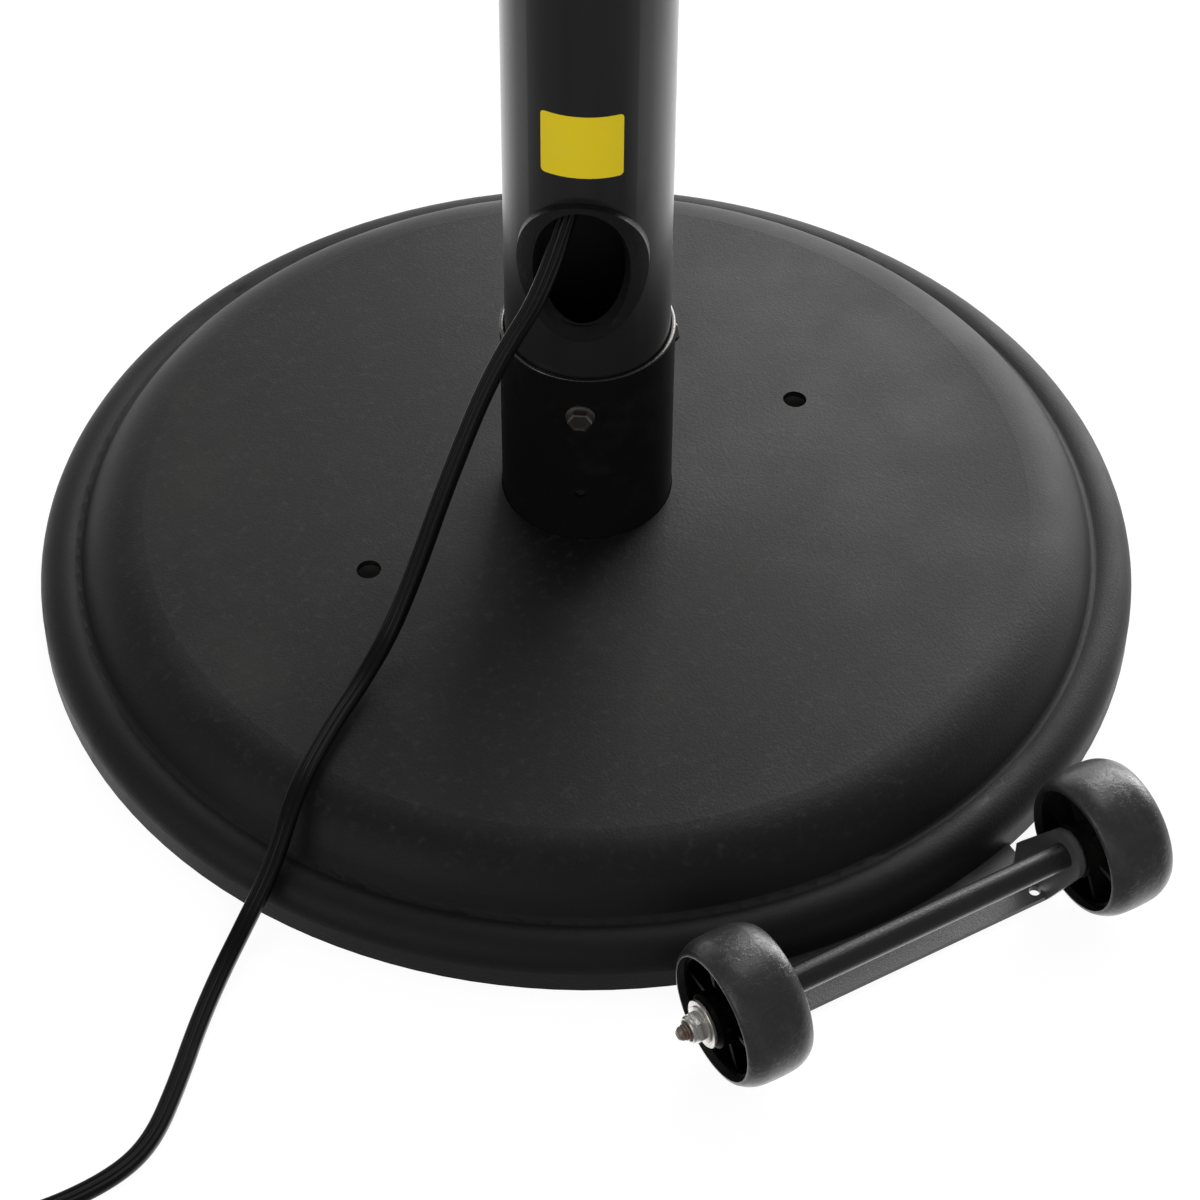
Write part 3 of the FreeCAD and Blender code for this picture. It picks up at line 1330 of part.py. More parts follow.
def add_terminal_box():
    """The wiring box on the head's back, with lid, gland, terminal block and switch."""
    wall = S.box_wall
    x0, x1 = S.box_x, S.box_x + S.box_width
    z0, z1 = S.box_low, S.box_low + S.box_height
    back = S.head_back
    face = back - S.box_depth
    mid_z = (z0 + z1) / 2
    switch_x = x0 + S.switch_x
    screw_in = S.lid_screw_in
    corners = [(x, z) for x in (x0 + screw_in, x1 - screw_in) for z in (z0 + screw_in, z1 - screw_in)]
    body = new_body("terminal_box")
    pad(Outline(body, "XZ_Plane", "Floor", face).box(x0, z0, x1, z1), "Block", S.box_depth)
    hollow = Outline(body, "XZ_Plane", "Hollow", face).box(x0 + wall, z0 + wall, x1 - wall, z1 - wall)
    pocket(hollow, "Hollow", S.box_depth - wall, back=True)
    post = Outline(body, "XZ_Plane", "Posts", face)
    for x, z in corners:
        post.circle(x, z, screw_in - wall / 2)
    pad(post, "ScrewPosts", S.box_depth - wall / 2)
    pilots = Outline(body, "XZ_Plane", "Pilots", face)
    for x, z in corners:
        pilots.circle(x, z, S.lid_screw_r + S.thread_gap)
    pocket(pilots, "Pilots", S.box_depth / 2, back=True)
    gland_x = x1 - S.block_width / 2
    gland_y = -(face + S.box_depth / 2)
    inlet = Outline(body, "XY_Plane", "Inlet", z0 + 2 * wall)
    inlet.circle(gland_x, gland_y, S.cord_d / 2 + S.hole_gap)
    pocket(inlet, "GlandHole", 3 * wall)
    gland = new_body("box_gland")
    nut = Outline(gland, "XY_Plane", "Nut", z0).hexagon(gland_x, gland_y, gland_flats)
    nut.circle(gland_x, gland_y, S.cord_d / 2 + S.hole_gap)
    pad(nut, "GlandNut", S.gland_height / 3, back=True)
    dome = Outline(gland, "XY_Plane", "Dome", z0).circle(gland_x, gland_y, S.gland_r - S.weld_leg / 2)
    dome.circle(gland_x, gland_y, S.cord_d / 2 + S.hole_gap)
    pad(dome, "GlandDome", S.gland_height, back=True)
    lid = new_body("box_lid")
    cover = Outline(lid, "XZ_Plane", "Face", face).box(x0, z0, x1, z1)
    hole_w, hole_h = S.switch_width / 2, S.switch_height / 2
    gap = S.rocker_gap / 2
    cover.box(switch_x - hole_w - gap, mid_z - hole_h - gap, switch_x + hole_w + gap, mid_z + hole_h + gap)
    for x, z in corners:
        cover.circle(x, z, S.lid_screw_r + S.hole_gap)
    pad(cover, "Lid", S.box_lid, back=True)
    screws = new_body("lid_screws")
    seat = face - S.box_lid
    for index, (x, z) in enumerate(corners):
        head = Outline(screws, "XZ_Plane", f"Head{index}", seat).circle(x, z, S.lid_screw_head_r)
        pad(head, f"ScrewHead{index}", S.lid_screw_head, back=True)
        stem = Outline(screws, "XZ_Plane", f"Stem{index}", seat).circle(x, z, S.lid_screw_r)
        pad(stem, f"ScrewStem{index}", S.box_depth / 3)
    block = new_body("terminal_block")
    block_x = x1 - wall - S.lid_screw_in - S.block_width
    strip = Outline(block, "XZ_Plane", "Strip", back - wall)
    strip.box(block_x, mid_z - S.block_height / 2, block_x + S.block_width, mid_z + S.block_height / 2)
    pad(strip, "Strip", S.block_depth, back=True)
    frame = new_body("switch_frame")
    rim = S.switch_rim
    bezel = Outline(frame, "XZ_Plane", "Bezel", seat)
    slot_w = S.rocker_width / 2 + S.rocker_gap
    slot_h = hole_h - 2 * rim
    bezel.box(switch_x - hole_w - rim, mid_z - hole_h - rim, switch_x + hole_w + rim, mid_z + hole_h + rim)
    bezel.box(switch_x - slot_w, mid_z - slot_h, switch_x + slot_w, mid_z + slot_h)
    pad(bezel, "Bezel", rim, back=True)
    barrel = Outline(frame, "XZ_Plane", "Barrel", seat)
    barrel.box(switch_x - hole_w, mid_z - hole_h, switch_x + hole_w, mid_z + hole_h)
    barrel.box(switch_x - slot_w, mid_z - slot_h, switch_x + slot_w, mid_z + slot_h)
    pad(barrel, "Barrel", S.switch_depth)
    floor = Outline(frame, "XZ_Plane", "Floor", seat + S.switch_depth)
    floor.box(switch_x - hole_w, mid_z - hole_h, switch_x + hole_w, mid_z + hole_h)
    pad(floor, "BarrelFloor", rim)
    axle = Outline(frame, "YZ_Plane", "Pivot", switch_x).circle(rocker_y(), mid_z, rim)
    pad(axle, "PivotPin", 2 * slot_w + rim, both=True)
    rocker = new_body("power_switch")
    half = S.rocker_width / 2
    tilt_h = slot_h - S.rocker_gap
    top = S.rocker_proud
    key = Outline(rocker, "YZ_Plane", "Key")
    key.loop([
        (-top, -tilt_h + rim),
        (top / 2, -tilt_h + 2 * rim),
        (top, 0),
        (top + rim, tilt_h - rim),
        (-top, tilt_h - rim),
    ])
    key.circle(0, 0, rim + S.spin_gap)
    pad(key, "Rocker", 2 * half, both=True)
    place(rocker, switch_x, rocker_y(), pivot_z + mid_z)
    for piece in (body, gland, lid, screws, block, frame):
        place(piece, 0, 0, pivot_z)


def rocker_y():
    """The rocker's pivot, just behind the face of the lid."""
    return -(S.head_back - S.box_depth - S.box_lid + S.rocker_proud / 2)


# Where the mains cord runs, as chosen points: from the pole, then from where it meets the rim
CORD_HANG = [
    (10.0, 14.0, 270.0),
    (35.0, 30.5, 222.0),
    (68.5, 35.5, 187.0),
    (97.0, 43.6, 139.0),
    (117.0, 49.5, 99.0),
    (133.0, 54.0, 72.0),
    (153.0, 63.5, 58.6),
]
CORD_RIM = [
    (-53.0, -40.3, 56.2),
    (-26.0, -18.3, 54.0),
    (-3.5, -2.5, 31.5),
    (14.0, 9.7, 11.8),
    (34.0, 23.7, 5.4),
    (56.0, 40.2, 4.7),
    (76.0, 64.2, 4.7),
    (95.0, 84.2, 4.7),
    (116.0, 95.2, 4.7),
    (143.0, 96.0, 4.7),
]
INNER_RUN = 34.0
INNER_HIGH_TURN = 120.0


def rounded_path(points):
    """Straight runs joined by tangent arcs, each as large as its two runs allow."""
    edges = []
    radii = []
    start = points[0]
    for before, corner, after in zip(points, points[1:], points[2:]):
        arrive, leave = (corner - before).normalize(), (after - corner).normalize()
        turn = arrive.getAngle(leave)
        reach = 0.45 * min((corner - before).Length, (after - corner).Length)
        radius = reach / math.tan(turn / 2)
        radii.append(radius)
        enter, exit_point = corner - arrive * reach, corner + leave * reach
        inward = (leave - arrive).normalize()
        middle = corner + inward * (radius / math.cos(turn / 2) - radius)
        edges.append(Part.LineSegment(start, enter).toShape())
        edges.append(Part.Arc(enter, middle, exit_point).toShape())
        start = exit_point
    edges.append(Part.LineSegment(start, points[-1]).toShape())
    return Part.Wire(edges), radii


def tube_along(label, path, heading):
    """Sweep the cord's round section along a path, and check what comes out."""
    radius = S.cord_d.value / 2
    start = path.OrderedEdges[0].valueAt(path.OrderedEdges[0].FirstParameter)
    section = Part.Wire([Part.Circle(start, heading, radius).toShape()])
    solid = path.makePipeShell([section], True, False)
    expected = math.pi * radius ** 2 * path.Length
    print(f"{label}: length {path.Length:.0f}, volume off by {abs(solid.Volume / expected - 1):.4%}")
    feature = doc.addObject("Part::Feature", label)
    feature.Label = label
    feature.Shape = solid
    feature.Placement = FreeCAD.Placement()
    nodes[label] = feature


def coil_start():
    """Where the coil's straight lead-in begins, heading along +X."""
    outer = coil_radius(0.0)
    z = S.cord_d.value / 2 + S.coil_lift.value
    return Vector(coil_x.value - S.cord_d.value, coil_y.value - outer, z)


def coil_radius(turn):
    """The spiral's radius: in to the middle of the coil and out again, round at the reversal."""
    half = S.coil_turns.value / 2
    away = abs(turn - half)
    blend = 0.25
    smooth = away if away > blend else (away ** 2 + blend ** 2) / (2 * blend)
    return S.coil_in_r.value + S.coil_pitch.value * smooth


def coil_point(turn):
    """A point of the coil, which climbs a layer in the half turn where the spiral reverses."""
    half = S.coil_turns.value / 2
    climb = min(max((turn - half + 0.25) / 0.5, 0.0), 1.0)
    eased = climb * climb * (3 - 2 * climb)
    low = S.cord_d.value / 2 + S.coil_lift.value
    angle = 2 * math.pi * (turn - 0.25)
    radius = coil_radius(turn)
    flat = Vector(coil_x.value + radius * math.cos(angle), coil_y.value + radius * math.sin(angle), 0)
    return flat + Z_AXIS * (low + S.coil_pitch.value * eased)


def biarc(p, heading, q, leaving):
    """Two tangent arcs from p to q that keep the headings at both ends."""
    chord = q - p
    both = heading + leaving
    a = both.dot(both) - 4.0
    b = -2.0 * chord.dot(both)
    c = chord.dot(chord)
    reach = (-b - math.sqrt(b * b - 4 * a * c)) / (2 * a)
    meet = ((p + heading * reach) + (q - leaving * reach)) * 0.5
    return [tangent_arc(p, heading, meet), tangent_arc(q, leaving * -1, meet, True)]


def tangent_arc(start, heading, end, backwards=False):
    """The arc from start along a heading to end."""
    chord = end - start
    side = chord - heading * chord.dot(heading)
    radius = chord.dot(chord) / (2 * side.Length)
    inward = side.normalize()
    centre = start + inward * radius
    middle = centre + ((start + end) * 0.5 - centre).normalize() * radius
    return Part.Arc(*((end, middle, start) if backwards else (start, middle, end))).toShape()


def add_cord_coil():
    """The put-away length of the cord: one unbroken tube in two layers of spiral turns."""
    quarters = int(round(S.coil_turns.value * 4))
    step = 1e-4
    turns = [k / 4 for k in range(quarters + 1)]
    points = [coil_point(t) for t in turns]
    headings = [(coil_point(t + step) - coil_point(t - step)).normalize() for t in turns]
    headings[0] = Vector(1, 0, 0)
    headings[-1] = Vector(-1, 0, 0) if quarters % 4 == 2 else headings[-1]
    edges = [Part.LineSegment(coil_start(), points[0]).toShape()]
    for k in range(quarters):
        edges += biarc(points[k], headings[k], points[k + 1], headings[k + 1])
    end = points[-1] + headings[-1] * S.plug_lead.value
    edges.append(Part.LineSegment(points[-1], end).toShape())
    path = Part.Wire(edges)
    tube_along("cord_coil", path, Vector(1, 0, 0))
    samples = [coil_point(k / 120) for k in range(int(S.coil_turns.value * 120) + 1)]
    least = min(
        (samples[i] - samples[j]).Length
        for i in range(len(samples))
        for j in range(i + 60, len(samples))
    )
    print(f"cord_coil: least gap to itself {least - S.cord_d.value:.2f}")
    return end, headings[-1]


def add_mains_cord():
    """The free stretch of the cord and the stretch inside the pole that it comes from."""
    start = coil_start()
    rim = Vector(rim_x.value, rim_y.value, 0)
    route = [Vector(*point) for point in CORD_HANG]
    route += [rim + Vector(*point) for point in CORD_RIM]
    route += [start - Vector(S.coil_lead.value, 0, 0), start]
    path, radii = rounded_path(route)
    print("mains_cord radii:", ", ".join(f"{radius:.0f}" for radius in radii))
    tube_along("mains_cord", path, route[1] - route[0])
    back = (route[0] - route[1]).normalize()
    bend = route[0] + back * INNER_RUN
    gland_z = (cap_top + S.gland_height).value
    gland_y = S.gland_y.value
    top = Vector(0, gland_y, gland_z)
    inner = [
        route[0],
        bend,
        Vector(bend.x, bend.y, S.pole_top_z.value - S.cap_plug.value - 2 * INNER_HIGH_TURN),
        Vector(0, gland_y, S.pole_top_z.value - S.cap_plug.value - INNER_HIGH_TURN),
        top,
    ]
    inner_path, inner_radii = rounded_path(inner)
    print("inner_cable radii:", ", ".join(f"{radius:.0f}" for radius in inner_radii))
    tube_along("inner_cable", inner_path, inner[1] - inner[0])


def add_cord_tie():
    """A band round the coil's turns, on the side away from the climb."""
    turn = 0.75
    mid_r = (coil_radius(turn) + coil_radius(turn + 1)) / 2
    half = (coil_radius(turn) - coil_radius(turn + 1)) / 2 + S.cord_d.value / 2 + S.tie_gap.value
    low = S.coil_lift.value - S.tie_gap.value / 2
    high = S.coil_lift.value + S.cord_d.value + S.coil_pitch.value + S.tie_gap.value
    thick, width = S.tie_thick.value, S.tie_width.value
    corner = Vector(coil_x.value - mid_r - half, coil_y.value - width / 2, low)
    hole = Part.makeBox(2 * half, width, high - low, corner)
    skin = Part.makeBox(2 * (half + thick), width, high - low + 2 * thick, corner - Vector(thick, 0, thick))
    feature = doc.addObject("Part::Feature", "cord_tie")
    feature.Label = "cord_tie"
    feature.Shape = skin.cut(hole)
    nodes["cord_tie"] = feature


def add_plug(end, heading):
    """The moulded plug at the cord's end, lying on the floor, and its three pins."""
    half_h = S.cord_d / 2 + S.coil_lift + S.coil_pitch - S.plug_lift
    neck = S.cord_d / 2 + S.weld_leg / 3
    body = new_body("plug_body")
    relief = Outline(body, "XY_Plane", "Relief")
    relief.loop([
        (0, 0),
        (S.relief_len, 0),
        (S.relief_len, S.plug_relief_r),
        (0, neck),
    ])
    revolve(relief, "StrainRelief", "H_Axis")
    grip = Outline(body, "YZ_Plane", "Grip", S.relief_len)
    w, h, r = S.plug_width / 2, half_h, S.plug_round
    grip.loop([
        (w - r, -h),
        (w, r - h, r),
        (w, h - r),
        (w - r, h, r),
        (r - w, h),
        (-w, h - r, r),
        (-w, r - h),
        (r - w, -h, r),
    ])
    pad(grip, "Grip", S.plug_len)
    pins = new_body("plug_pins")
    face = S.relief_len + S.plug_len
    for index, y in enumerate((S.blade_gap / 2, -S.blade_gap / 2)):
        blade = Outline(pins, "YZ_Plane", f"Blade{index}", face)
        low = S.blade_width / 4
        blade.box(y - S.blade_thick / 2, -low, y + S.blade_thick / 2, S.blade_width - low)
        pad(blade, f"Blade{index}", S.blade_len)
    ground = Outline(pins, "YZ_Plane", "Ground", face).circle(0, -S.ground_offset, S.ground_r)
    pad(ground, "GroundPin", S.ground_len)
    turn = math.degrees(math.atan2(heading.y, heading.x))
    for piece in (body, pins):
        piece.Placement = FreeCAD.Placement(end, FreeCAD.Rotation(Z_AXIS, turn))


def write_nodes():
    """Check every object and solid, then write one STEP file per sub-part."""
    doc.recompute()
    for thing in doc.Objects:
        if "Invalid" in thing.State or "Error" in thing.State:
            raise RuntimeError(f"{thing.Label} failed: {thing.State}")
    os.makedirs("parts", exist_ok=True)
    for label, thing in nodes.items():
        shape = thing.Shape
        if shape.isNull() or not shape.isValid() or shape.Volume <= 0:
            raise RuntimeError(f"{label} has no valid solid")
        shape.exportStep(f"parts/{label}.step")
    print(f"wrote {len(nodes)} sub-parts")


add_base_plate()
add_ballast()
add_base_cover()
add_foot_socket()
add_base_fasteners()
add_wheel_bracket()
add_axle()
add_wheel("left", -1)
add_wheel("right", 1)
add_pole()
add_cable_grommet()
add_pole_head()
add_head_housing()
add_head_lug()
add_reflector()
add_lamp()
add_front_guard()
add_terminal_box()
add_mains_cord()
add_plug(*add_cord_coil())
add_cord_tie()
write_nodes()
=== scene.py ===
import logging
import math
from collections.abc import Iterable, Sequence
from dataclasses import dataclass
from enum import Enum

import bmesh
import bpy
from mathutils import Matrix, Vector


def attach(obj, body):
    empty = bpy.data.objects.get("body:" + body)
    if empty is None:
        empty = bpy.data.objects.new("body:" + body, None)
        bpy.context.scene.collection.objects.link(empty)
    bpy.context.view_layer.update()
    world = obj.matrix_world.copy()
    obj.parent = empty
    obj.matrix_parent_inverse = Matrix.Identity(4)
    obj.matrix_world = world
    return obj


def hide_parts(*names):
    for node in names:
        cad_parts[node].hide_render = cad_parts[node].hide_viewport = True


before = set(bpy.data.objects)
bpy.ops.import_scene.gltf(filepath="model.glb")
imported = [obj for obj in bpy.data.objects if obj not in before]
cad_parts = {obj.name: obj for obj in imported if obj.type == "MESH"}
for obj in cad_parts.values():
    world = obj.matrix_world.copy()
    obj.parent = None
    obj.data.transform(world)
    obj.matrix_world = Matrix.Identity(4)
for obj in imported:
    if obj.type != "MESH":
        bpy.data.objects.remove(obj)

log = logging.getLogger("patio_heater")
Number = float | int
Colour = tuple[float, float, float]
Point = tuple[float, float, float]
Profile = Sequence[tuple[float, float]]

MM = 0.001
MERGE = 1e-6
TURN = 2 * math.pi
EVEN = (1.0, 1.0, 1.0)
WHITE = (1.0, 1.0, 1.0)
QUADRATIC = 3
BASE_R = 264.0
CORD_AZIMUTH = math.radians(27.6)
BOLT_AZIMUTH = 55.5


class Body(Enum):
    """The rigid bodies that the scene's own pieces ride on."""

    STAND = "stand"


class Axis(Enum):
    """The direction that a turned shape lies along."""

    X = (1.0, 0.0, 0.0)
    Z = (0.0, 0.0, 1.0)


class Tone:
    """A shader socket that takes part in Python arithmetic."""

    def __init__(self, sheet: "NodeSheet", socket: bpy.types.NodeSocket) -> None:
        """Keep the sheet that owns the socket, and the socket."""
        self.sheet = sheet
        self.socket = socket

    def __add__(self, other: "Tone | Number") -> "Tone":
        """Add a number or another tone."""
        return self.sheet.maths("ADD", self, other)

    def __radd__(self, other: Number) -> "Tone":
        """Add this tone to a number."""
        return self.sheet.maths("ADD", other, self)

    def __sub__(self, other: "Tone | Number") -> "Tone":
        """Subtract a number or another tone."""
        return self.sheet.maths("SUBTRACT", self, other)

    def __rsub__(self, other: Number) -> "Tone":
        """Subtract this tone from a number."""
        return self.sheet.maths("SUBTRACT", other, self)

    def __mul__(self, other: "Tone | Number") -> "Tone":
        """Multiply by a number or another tone."""
        return self.sheet.maths("MULTIPLY", self, other)

    def __rmul__(self, other: Number) -> "Tone":
        """Multiply a number by this tone."""
        return self.sheet.maths("MULTIPLY", other, self)


@dataclass(frozen=True)
class Noise:
    """Fractal noise over a piece, with its scale in cells per metre."""

    scale: float
    detail: float = 3.0
    rough: float = 0.55
    stretch: Point = EVEN


@dataclass(frozen=True)
class Patches(Noise):
    """Patches where noise rises from a low level to a high one.

    The share is how far their colour shows, and dulls is the roughness that they add.
    """

    low: float = 0.5
    high: float = 0.8
    share: float = 0.0
    dulls: float = 0.0


@dataclass(frozen=True)
class Relief:
    """How a height lifts a surface: its strength, and its depth in metres."""

    strength: float
    depth: float


class NodeSheet:
    """A node tree that is written with tones."""

    def __init__(self, tree: bpy.types.NodeTree) -> None:
        """Take over a tree and empty it."""
        self.tree = tree
        self.tree.nodes.clear()

    def node(
        self,
        kind: str,
        settings: dict[str, object],
        inputs: dict[str | int, object],
        out: str | int | None = 0,
    ) -> Tone | None:
        """Add a node.

        Args:
            kind: The node's type.
            settings: Its properties, set before its sockets.
            inputs: Values or tones for its sockets, by name or index.
            out: The output that is wanted, or None for a node that ends the tree.

        Returns:
            The output as a tone.
        """
        made = self.tree.nodes.new(kind)
        for key, value in settings.items():
            setattr(made, key, value)
        for key, value in inputs.items():
            self.feed(made.inputs[key], value)
        return None if out is None else Tone(self, made.outputs[out])

    def feed(self, socket: bpy.types.NodeSocket, value: object) -> None:
        """Link a tone to a socket, or set the socket's own value.

        Args:
            socket: The input socket.
            value: A tone, a number or a colour.
        """
        if isinstance(value, Tone):
            self.tree.links.new(value.socket, socket)
        elif socket.type == "RGBA" and isinstance(value, tuple):
            socket.default_value = (*value[:3], 1.0)
        else:
            socket.default_value = value

    def maths(self, operation: str, a: Tone | Number, b: Tone | Number) -> Tone:
        """Join two values with a Math node."""
        return self.node("ShaderNodeMath", {"operation": operation}, {0: a, 1: b})

    def band(
        self,
        tone: Tone,
        low: float,
        high: float,
        start: float = 0.0,
        end: float = 1.0,
    ) -> Tone:
        """Map a range of a tone to another range, smoothly and clamped.

        Args:
            tone: The tone.
            low: Where its range starts.
            high: Where its range ends.
            start: The result at the low end.
            end: The result at the high end.

        Returns:
            The mapped tone.
        """
        settings = {"interpolation_type": "SMOOTHSTEP"}
        inputs = {"Value": tone, "From Min": low, "From Max": high, "To Min": start, "To Max": end}
        return self.node("ShaderNodeMapRange", settings, inputs)


class ShaderSheet(NodeSheet):
    """One material's node tree, with a Principled shader to feed."""

    def __init__(self, name: str) -> None:
        """Start a material.

        Args:
            name: The material's name.
        """
        self.material = bpy.data.materials.new(name)
        self.material.use_nodes = True
        super().__init__(self.material.node_tree)
        self.shader = self.tree.nodes.new("ShaderNodeBsdfPrincipled")
        output = self.tree.nodes.new("ShaderNodeOutputMaterial")
        self.tree.links.new(self.shader.outputs[0], output.inputs["Surface"])
        self.place = self.node("ShaderNodeTexCoord", {}, {}, "Object")

    def noise(self, kind: Noise) -> Tone:
        """Lay noise over the piece.

        Args:
            kind: The noise.

        Returns:
            The noise, from 0 to 1.
        """
        place = self.place
        if kind.stretch != EVEN:
            place = self.node("ShaderNodeMapping", {}, {"Vector": place, "Scale": kind.stretch})
        inputs = {"Vector": place, "Scale": kind.scale, "Detail": kind.detail, "Roughness": kind.rough}
        return self.node("ShaderNodeTexNoise", {}, inputs)

    def patches(self, kind: Patches) -> Tone:
        """Patches, from 0 to 1."""
        return self.band(self.noise(kind), kind.low, kind.high)

    def cells(self, scale: float) -> Tone:
        """Distance to the middle of the nearest cell."""
        inputs = {"Vector": self.place, "Scale": scale}
        return self.node("ShaderNodeTexVoronoi", {"feature": "F1"}, inputs, "Distance")

    def blend(self, factor: Tone | Number, a: "Tone | Colour", b: "Tone | Colour") -> Tone:
        """Mix two colours."""
        return self.node("ShaderNodeMix", {"data_type": "RGBA"}, {0: factor, 6: a, 7: b}, 2)

    def height(self) -> Tone:
        """How high the surface lies, in metres."""
        return self.node("ShaderNodeSeparateXYZ", {}, {0: self.place}, "Z")

    def bump(self, height: Tone, relief: Relief) -> Tone:
        """A normal that a height lifts."""
        inputs = {"Height": height, "Strength": relief.strength, "Distance": relief.depth}
        return self.node("ShaderNodeBump", {}, inputs)

    def surface(self, **sockets: object) -> bpy.types.Material:
        """Feed the Principled shader.

        Args:
            sockets: Values or tones by socket, with underscores for spaces.

        Returns:
            The material.
        """
        for key, value in sockets.items():
            self.feed(self.shader.inputs[key.replace("_", " ")], value)
        return self.material


def shaded(colour: Colour, share: float) -> Colour:
    """Make a colour darker or paler by a factor."""
    red, green, blue = colour
    return share * red, share * green, share * blue


@dataclass(frozen=True)
class Finish:
    """What a surface looks like: a base that each kind of finish fills in."""

    name: str

    def material(self) -> bpy.types.Material:
        """Make the finish's material once, and never take it from the CAD.

        Returns:
            The material.
        """
        title = f"{self.name}_finish"
        made = bpy.data.materials.get(title)
        return made if made is not None else self.mix(ShaderSheet(title))

    def mix(self, sheet: ShaderSheet) -> bpy.types.Material:
        """Fill in the sheet."""
        return sheet.material

    def dress(self, pieces: Iterable[bpy.types.Object]) -> None:
        """Give the finish to pieces.

        Args:
            pieces: The pieces.
        """
        for piece in pieces:
            piece.data.materials.clear()
            piece.data.materials.append(self.material())


@dataclass(frozen=True)
class MouldedPlastic(Finish):
    """Black plastic with a fine leather grain, faint smudges and settled dust."""

    colour: Colour = (0.0045, 0.0044, 0.0044)
    smudge: Colour = (0.030, 0.0275, 0.026)
    dust: Colour = (0.055, 0.0535, 0.052)
    dusty: float = 0.1
    settle_low: float = 30.0 * MM
    settle_high: float = 47.0 * MM
    grain: float = 760.0
    fine_ratio: float = 2.6
    fine_detail: float = 2.0
    crease_share: float = 0.8
    fine_share: float = 0.35
    relief: Relief = Relief(0.5, 0.00016)
    clouds: Patches = Patches(9.0, 4.0, 0.6, low=0.52, high=0.78, share=0.45)
    specks: Patches = Patches(210.0, 5.0, 0.75, low=0.5, high=0.78, dulls=0.06)
    sheen_low: float = 0.25
    sheen_high: float = 0.8
    rubbed: float = 0.05
    clouded: float = 0.1
    roughness: float = 0.55
    gloss: float = 0.34

    def mix(self, sheet: ShaderSheet) -> bpy.types.Material:
        """Grain from cells, smudges from broad noise, dust from fine noise above a height.

        Args:
            sheet: The sheet to fill in.

        Returns:
            The material.
        """
        creases = sheet.cells(self.grain)
        fine = sheet.noise(Noise(self.grain * self.fine_ratio, self.fine_detail))
        cloud = sheet.noise(self.clouds)
        smudge = sheet.band(cloud, self.clouds.low, self.clouds.high)
        dust = sheet.patches(self.specks)
        colour = sheet.blend(smudge * self.clouds.share, self.colour, self.smudge)
        settled = dust * sheet.band(sheet.height(), self.settle_low, self.settle_high) * self.dusty
        smooth, rough = self.roughness - self.rubbed, self.roughness + self.clouded
        sheen = sheet.band(cloud, self.sheen_low, self.sheen_high, smooth, rough)
        return sheet.surface(
            Base_Color=sheet.blend(settled, colour, self.dust),
            Roughness=sheen + dust * self.specks.dulls,
            Specular_IOR_Level=self.gloss,
            Normal=sheet.bump(creases * self.crease_share + fine * self.fine_share, self.relief),
        )


@dataclass(frozen=True)
class SatinPaint(Finish):
    """Smooth paint on tube, with a slight orange peel and fine scuffs."""

    colour: Colour = (0.014, 0.014, 0.0142)
    dust: Colour = (0.020, 0.019, 0.019)
    roughness: float = 0.28
    gloss: float = 0.45
    peel: Noise = Noise(260.0, 2.0)
    relief: Relief = Relief(0.22, 0.00012)
    scuffs: Patches = Patches(46.0, 5.0, 0.7, (1.0, 1.0, 0.25), low=0.5, high=0.8, dulls=0.14)
    specks: Patches = Patches(330.0, 3.0, 0.7, low=0.62, high=0.82, share=0.12, dulls=0.1)

    def mix(self, sheet: ShaderSheet) -> bpy.types.Material:
        """Peel as bump, scuffs as roughness.

        Args:
            sheet: The sheet to fill in.

        Returns:
            The material.
        """
        scuff = sheet.patches(self.scuffs)
        dust = sheet.patches(self.specks)
        return sheet.surface(
            Base_Color=sheet.blend(dust * self.specks.share, self.colour, self.dust),
            Roughness=self.roughness + scuff * self.scuffs.dulls + dust * self.specks.dulls,
            Specular_IOR_Level=self.gloss,
            Normal=sheet.bump(sheet.noise(self.peel), self.relief),
        )


@dataclass(frozen=True)
class PowderCoat(Finish):
    """Pebbled matt coating on folded and welded steel."""

    colour: Colour = (0.0055, 0.0055, 0.0059)
    bared: Colour = (0.05, 0.04, 0.032)
    paler: float = 2.4
    roughness: float = 0.42
    gloss: float = 0.06
    pebbles: Noise = Noise(900.0, 2.0, 0.5)
    relief: Relief = Relief(0.55, 0.00025)
    chalk: Patches = Patches(38.0, 5.0, 0.65, low=0.5, high=0.76, share=0.5, dulls=0.1)
    nicks: Patches = Patches(150.0, 6.0, 0.75, low=0.70, high=0.78, share=0.15, dulls=-0.1)

    def mix(self, sheet: ShaderSheet) -> bpy.types.Material:
        """Pebbles as bump, chalky patches as colour.

        Args:
            sheet: The sheet to fill in.

        Returns:
            The material.
        """
        chalk = sheet.patches(self.chalk)
        nick = sheet.patches(self.nicks)
        colour = sheet.blend(chalk * self.chalk.share, self.colour, shaded(self.colour, self.paler))
        return sheet.surface(
            Base_Color=sheet.blend(nick * self.nicks.share, colour, self.bared),
            Roughness=self.roughness + chalk * self.chalk.dulls + nick * self.nicks.dulls,
            Specular_IOR_Level=self.gloss,
            Normal=sheet.bump(sheet.noise(self.pebbles), self.relief),
        )


